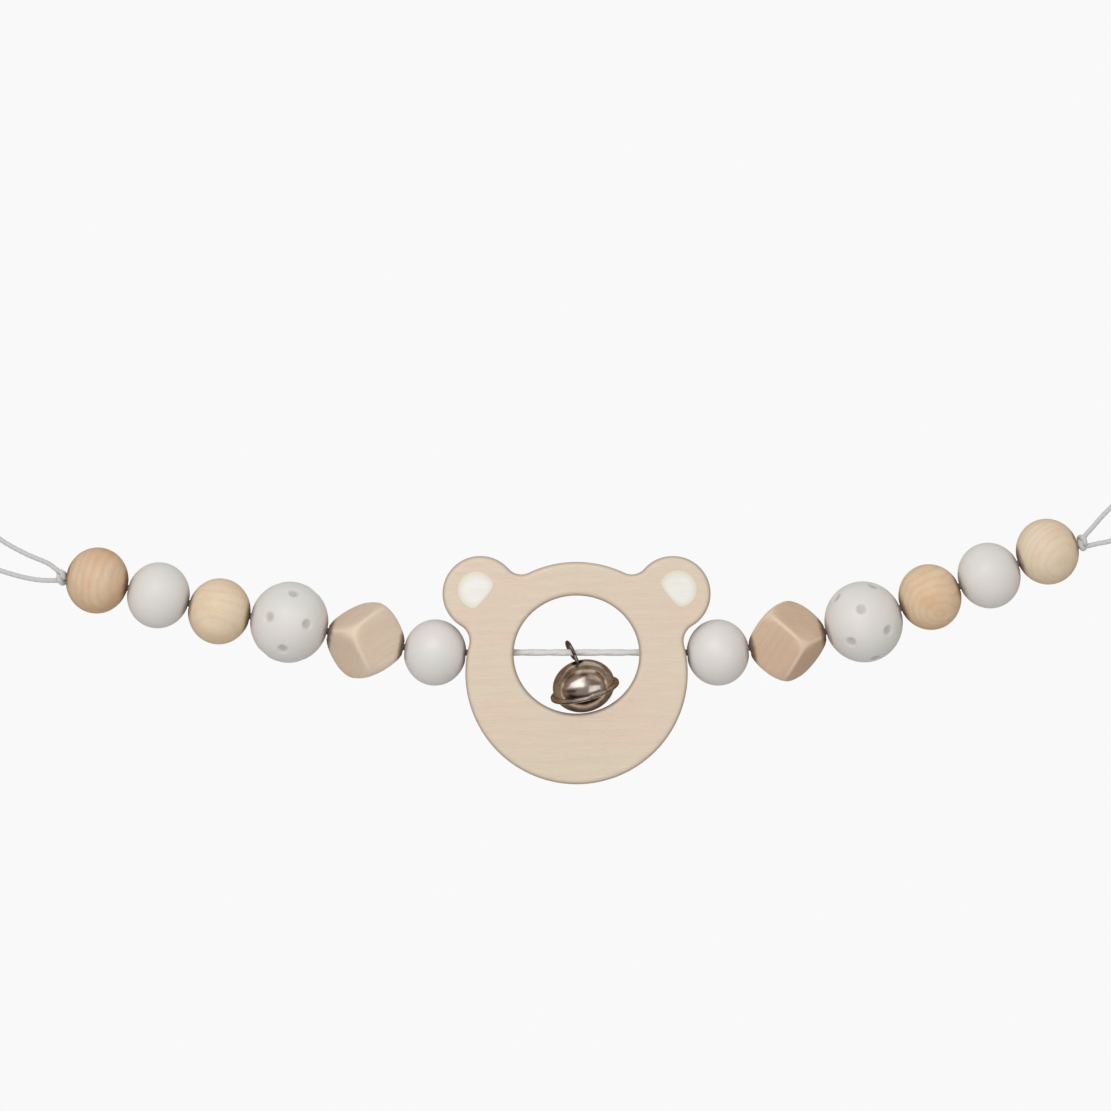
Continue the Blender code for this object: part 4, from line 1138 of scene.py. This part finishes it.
def nickel(name, colour, tarnish, roughness, middle):
    """Polished plate: nearly even, with soft tarnish clouds and hair scratches in its gloss."""
    material, tree, shader = new_material(name, {"Roughness": roughness, "Metallic": 1.0})
    local = worked_vector(tree, "SUBTRACT", object_place(tree), tuple(middle))
    wear = grouped(tree, PLATE_WEAR, {"Vector": local})
    made = {
        "Base Color": mix_colour(tree, remap(tree, wear["Clouds"], TARNISH_SPAN), colour, tarnish),
        "Roughness": remap(tree, wear["Clouds"], target=[roughness + more for more in TARNISH_GLOSS]),
        "Normal": bump(tree, wear["Scratches"], *SCRATCH_RELIEF),
    }
    feed(tree, shader, made)
    return material


def oval_rows(radius, height, start, end):
    """Points, as reach from the axis and height, on an upright oval between two angles from its top."""
    angle = np.linspace(start, end, BELL_ROWS)
    return np.stack([radius * np.sin(angle), height * np.cos(angle)], axis=-1)


def flange_rows(top, bottom):
    """The flange's rim from its upper to its lower face, as half a round."""
    angle = np.linspace(math.pi / 2, -math.pi / 2, FLANGE_ROWS)
    radius = (top - bottom) / 2
    middle = (BELL_RADIUS + FLANGE_WIDTH - radius, (top + bottom) / 2)
    return middle + radius * np.stack([np.cos(angle), np.sin(angle)], axis=-1)


def turned_shell(name, profile, closed):
    """A profile turned about the bell's axis and put in place."""
    grid = lathe(profile[:, 0], profile[:, 1], around(BELL_COLUMNS))
    return surface(name, bell_middle + grid @ bell_axes, loop_rows=closed)


seam_top = SEAM_GAP / 2 - FLANGE_DROP
seam_bottom = -SEAM_GAP / 2 - FLANGE_DROP
flange_top = seam_top + FLANGE_THICKNESS
flange_bottom = seam_bottom - FLANGE_THICKNESS
outside = (BELL_RADIUS, BELL_HALF_HEIGHT)
inside = (BELL_RADIUS - BELL_WALL, BELL_HALF_HEIGHT - BELL_WALL)
outer_crown, inner_crown = (math.asin(CROWN_RADIUS / oval[0]) for oval in (outside, inside))
upper = np.vstack(
    [
        oval_rows(*outside, outer_crown, math.acos(flange_top / outside[1])),
        flange_rows(flange_top, seam_top),
        oval_rows(*inside, math.acos(seam_top / inside[1]), inner_crown),
    ]
)
lower = np.vstack(
    [
        oval_rows(*inside, math.pi, math.acos(seam_bottom / inside[1])),
        flange_rows(seam_bottom, flange_bottom),
        oval_rows(*outside, math.acos(flange_bottom / outside[1]), math.pi),
    ]
)
lower[[0, -1], 0] = 0
plate = nickel("bell_nickel", NICKEL, NICKEL_TARNISH, NICKEL_ROUGHNESS, bell_middle)
mesh = turned_shell("bell_top_shell", upper, closed=True)
add_piece("bell_top_shell", mesh, plate, "bell", "nickel_plate", "bell_upper_shell")

hole_reach = BELL_RADIUS * math.sin(SLOT_ANGLE)
hole_height = -BELL_HALF_HEIGHT * math.cos(SLOT_ANGLE)
slot_low = -BELL_HALF_HEIGHT - SLOT_OVERRUN
slot_high = hole_height + BELL_WALL + SLOT_OVERRUN
corners = np.array([(-1, -1), (1, -1), (1, 1), (-1, 1)]) * (hole_reach, SLOT_WIDTH / 2)
box = [
    np.column_stack([corners * share, np.full(4, height)])
    for share, height in ((0, slot_high), (1, slot_high), (1, slot_low), (0, slot_low))
]
cutters = [surface("slot", bell_middle + np.stack(box) @ bell_axes, loop_rows=False)]
for side in (-1, 1):
    way = np.array((side * math.sin(SLOT_ANGLE), 0, -math.cos(SLOT_ANGLE)))
    hole = np.array((side * hole_reach, 0, hole_height))
    ends = [bell_middle + (hole + way * step * 2 * SLOT_OVERRUN) @ bell_axes for step in (-1, 1)]
    cutters.append(rod(*ends, SLOT_HOLE_RADIUS))
mesh = cut_away(turned_shell("bell_bottom_shell", lower, closed=False), cutters)
add_piece("bell_bottom_shell", mesh, plate, "bell", "nickel_plate", "bell_lower_shell")


# Eyelet: one nickelled wire bent round the cord, its two legs down through the bell's crown and
# their ends turned outwards inside it.
EYELET_WIRE_RADIUS = 0.00055
EYELET_LOOP_RADIUS = 0.0029
EYELET_LEG_SPREAD = 0.0010
EYELET_TAB_REACH = 0.0021
EYELET_LEAN = math.radians(26)
EYELET_OPENING = math.radians(30)
EYELET_SHIFT = 0.00175
EYELET_RISE = 0.0007
EYELET_FORWARD = 0.0005
EYELET_TWIST = math.radians(10)
CROWN_GAP = 0.0003
EYELET_ARC_STEPS = 16
EYELET_STEP = 0.00012
EYELET_SIDES = 24
# The wire's plate and tarnish are coloured far darker than the bell's nickel, as painted shade.
EYELET_SHADED_PLATE = (0.25, 0.215, 0.20)
EYELET_SHADED_TARNISH = (0.14, 0.115, 0.10)
EYELET_ROUGHNESS = 0.26


def eyelet_line():
    """The wire's line and the way square to its loop: tab, leg, an arc about the cord in a leaning
    plane, (loop radius)(lean cos a + sideways sin a) for its angle a, then leg and tab again."""
    axis = bell_axes[2]
    crown = bell_middle + axis * BELL_HALF_HEIGHT
    lean = np.array((-math.sin(EYELET_LEAN), 0, math.cos(EYELET_LEAN)))
    square = np.cross(lean, BACKWARD)
    sideways = BACKWARD * math.cos(EYELET_TWIST) + square * math.sin(EYELET_TWIST)
    spread = unit(BACKWARD - axis * axis[1])
    middle = ring_middle + (-EYELET_SHIFT, -EYELET_FORWARD, EYELET_RISE)
    down = math.atan2((crown - middle) @ BACKWARD, (crown - middle) @ lean)
    tab = -(BELL_WALL + 2 * CROWN_GAP + EYELET_WIRE_RADIUS)
    leg = np.array(
        [
            (EYELET_TAB_REACH + EYELET_WIRE_RADIUS, tab),
            (EYELET_TAB_REACH, tab),
            (EYELET_LEG_SPREAD + EYELET_WIRE_RADIUS / 2, tab),
            (EYELET_LEG_SPREAD, tab + EYELET_WIRE_RADIUS),
            (EYELET_LEG_SPREAD, 2 * CROWN_GAP),
        ]
    )
    opening = np.linspace(EYELET_OPENING, math.pi, EYELET_ARC_STEPS)[:, None]
    halves = []
    for side in (-1, 1):
        straight = crown + spread * side * leg[:, :1] + axis * leg[:, 1:]
        angle = down - side * opening
        bow = middle + (lean * np.cos(angle) + sideways * np.sin(angle)) * EYELET_LOOP_RADIUS
        halves.append(np.vstack([straight, bow]))
    keys = np.vstack([halves[0][:-1], halves[1][::-1]])
    return smooth_line(keys, unit(np.gradient(keys, axis=0)), EYELET_STEP), square


line, beside = eyelet_line()
mesh = surface("bell_loop", tube(line, EYELET_WIRE_RADIUS, EYELET_SIDES, beside), loop_rows=False)
shaded_wire_plate = nickel("eyelet_shaded_nickel", EYELET_SHADED_PLATE, EYELET_SHADED_TARNISH, EYELET_ROUGHNESS, bell_middle)
add_piece("bell_loop", mesh, shaded_wire_plate, "eyelet", "nickel_plate", "bell_eyelet")


# Painted reflections on the bell: a brown room without light, a grey board before the camera,
# and pale and black cards in front of that, all glowing sheets that only mirrored rays see. The
# pale cards are painted highlights, the rest painted reflections. They are given as the bell sees them.
ROOM_HALF_WIDTH = 0.55
ROOM_HALF_HEIGHT = 0.36
ROOM_BACK = 0.15
ROOM_FRONT = 0.14
ROOM_STEPS = 96
ROOM_WALLS = (
    # name, shares of the half width and half height with their depths, colour
    ("brown_room", ((0, ROOM_BACK), (1, ROOM_BACK), (1, -ROOM_FRONT)), (0.240, 0.145, 0.085)),
    ("grey_board", ((1, -ROOM_FRONT), (0, -ROOM_FRONT)), (0.290, 0.245, 0.235)),
)
CARD_REACH = 0.11
CARD_STEPS = 25
CARD_SOFT = 0.20
CARDS = (
    # name, corners as degrees across and up from the way to the camera, colour
    ("pale_wedge", ((-72, 4), (4, 4), (4, 62), (-50, 40)), (1.25, 1.27, 1.27)),
    ("pale_spot", ((12, -24), (66, -20), (64, 18), (14, 16)), (1.15, 1.22, 1.25)),
    ("pale_streak", ((4, 46), (62, 34), (60, 58), (2, 74)), (0.67, 0.60, 0.58)),
    ("pale_top", ((-30, 68), (30, 68), (30, 128), (-28, 128)), (0.72, 0.66, 0.56)),
    ("black_smudge", ((-20, 56), (20, 56), (18, 76), (-18, 74)), (0.060, 0.045, 0.040)),
    ("black_left", ((-56, 72), (-30, 74), (-28, 102), (-54, 98)), (0.020, 0.012, 0.008)),
    ("black_right", ((26, 78), (46, 78), (46, 104), (28, 104)), (0.020, 0.012, 0.008)),
    ("black_line", ((-76, -34), (-24, -14), (-22, 2), (-72, -12)), (0.050, 0.035, 0.025)),
    ("black_crescent", ((-70, -94), (70, -94), (72, -22), (-68, -28)), (0.008, 0.006, 0.004)),
)


def painted_reflection(name, mesh, colour, share=None):
    """A glowing sheet that only mirrored rays see, as a painted reflection. Its share, if it has one,
    lets the rest through.
    """
    sheet = add_object(name, mesh)
    for rays in ("camera", "diffuse", "shadow", "transmission"):
        setattr(sheet, f"visible_{rays}", False)
    material, tree, shader = new_material(name, {})
    tree.nodes.remove(shader)
    shown = add_node(tree, "ShaderNodeEmission", {"Color": (*colour, 1), "Strength": 1.0}).outputs[0]
    if share is not None:
        write_attribute(mesh, "share", share)
        through = add_node(tree, "ShaderNodeBsdfTransparent").outputs[0]
        blended = {0: read_attribute(tree, "share"), 1: through, 2: shown}
        shown = add_node(tree, "ShaderNodeMixShader", blended).outputs[0]
    feed(tree, tree.nodes["Material Output"], {"Surface": shown})
    mesh.materials.append(material)


for name, rows, colour in ROOM_WALLS:
    grid = lathe(*zip(*rows), around(ROOM_STEPS))[..., [0, 2, 1]] * (ROOM_HALF_WIDTH, 1, ROOM_HALF_HEIGHT)
    painted_reflection(name, surface(name, bell_middle + grid, loop_rows=False), colour)

down, right = np.meshgrid(*[np.linspace(0, 1, CARD_STEPS)] * 2, indexing="ij")
edge = np.minimum(np.minimum(down, 1 - down), np.minimum(right, 1 - right))
for name, corners, colour in CARDS:
    low_left, low_right, high_right, high_left = np.radians(np.array(corners, float))
    high = high_left + (high_right - high_left) * right[..., None]
    low = low_left + (low_right - low_left) * right[..., None]
    across, up = np.moveaxis(high + (low - high) * down[..., None], -1, 0)
    ways = np.stack([np.sin(across), -np.cos(across) * np.cos(up), np.cos(across) * np.sin(up)], axis=-1)
    mesh = surface(name, bell_middle + ways * CARD_REACH, loop_rows=False, loop_columns=False)
    painted_reflection(name, mesh, colour, eased(edge / CARD_SOFT))


# Pellet: a loose steel ball that rattles in the bell, dented a little by tumbling.
PELLET_RADIUS = 0.0025
PELLET_ROWS = 40
PELLET_COLUMNS = 64
PELLET_SEED = 7
PELLET_DENTS = 24
PELLET_DENT = 0.00004
DENT_SPREAD = 0.04
PELLET_STEEL = (0.45, 0.45, 0.46)
PELLET_DULL = (0.32, 0.31, 0.31)
PELLET_ROUGHNESS = 0.28

middle = solid_box("bell_pellet")[0]
fall = np.linspace(0, math.pi, PELLET_ROWS)
ways = lathe(np.sin(fall), np.cos(fall), around(PELLET_COLUMNS))
dents = np.random.default_rng(PELLET_SEED).normal(size=(PELLET_DENTS, 3))
nearest = (ways @ unit(dents).T).max(axis=-1)
deep = np.clip((nearest - 1 + DENT_SPREAD) / DENT_SPREAD, 0, 1)
ball = ways * (PELLET_RADIUS - PELLET_DENT * deep)[..., None]
mesh = surface("steel_pellet", middle + ball, loop_rows=False)
steel = nickel("pellet_steel", PELLET_STEEL, PELLET_DULL, PELLET_ROUGHNESS, middle)
add_piece("steel_pellet", mesh, steel, "pellet", "steel", "bell_pellet")


low, high = cad_box
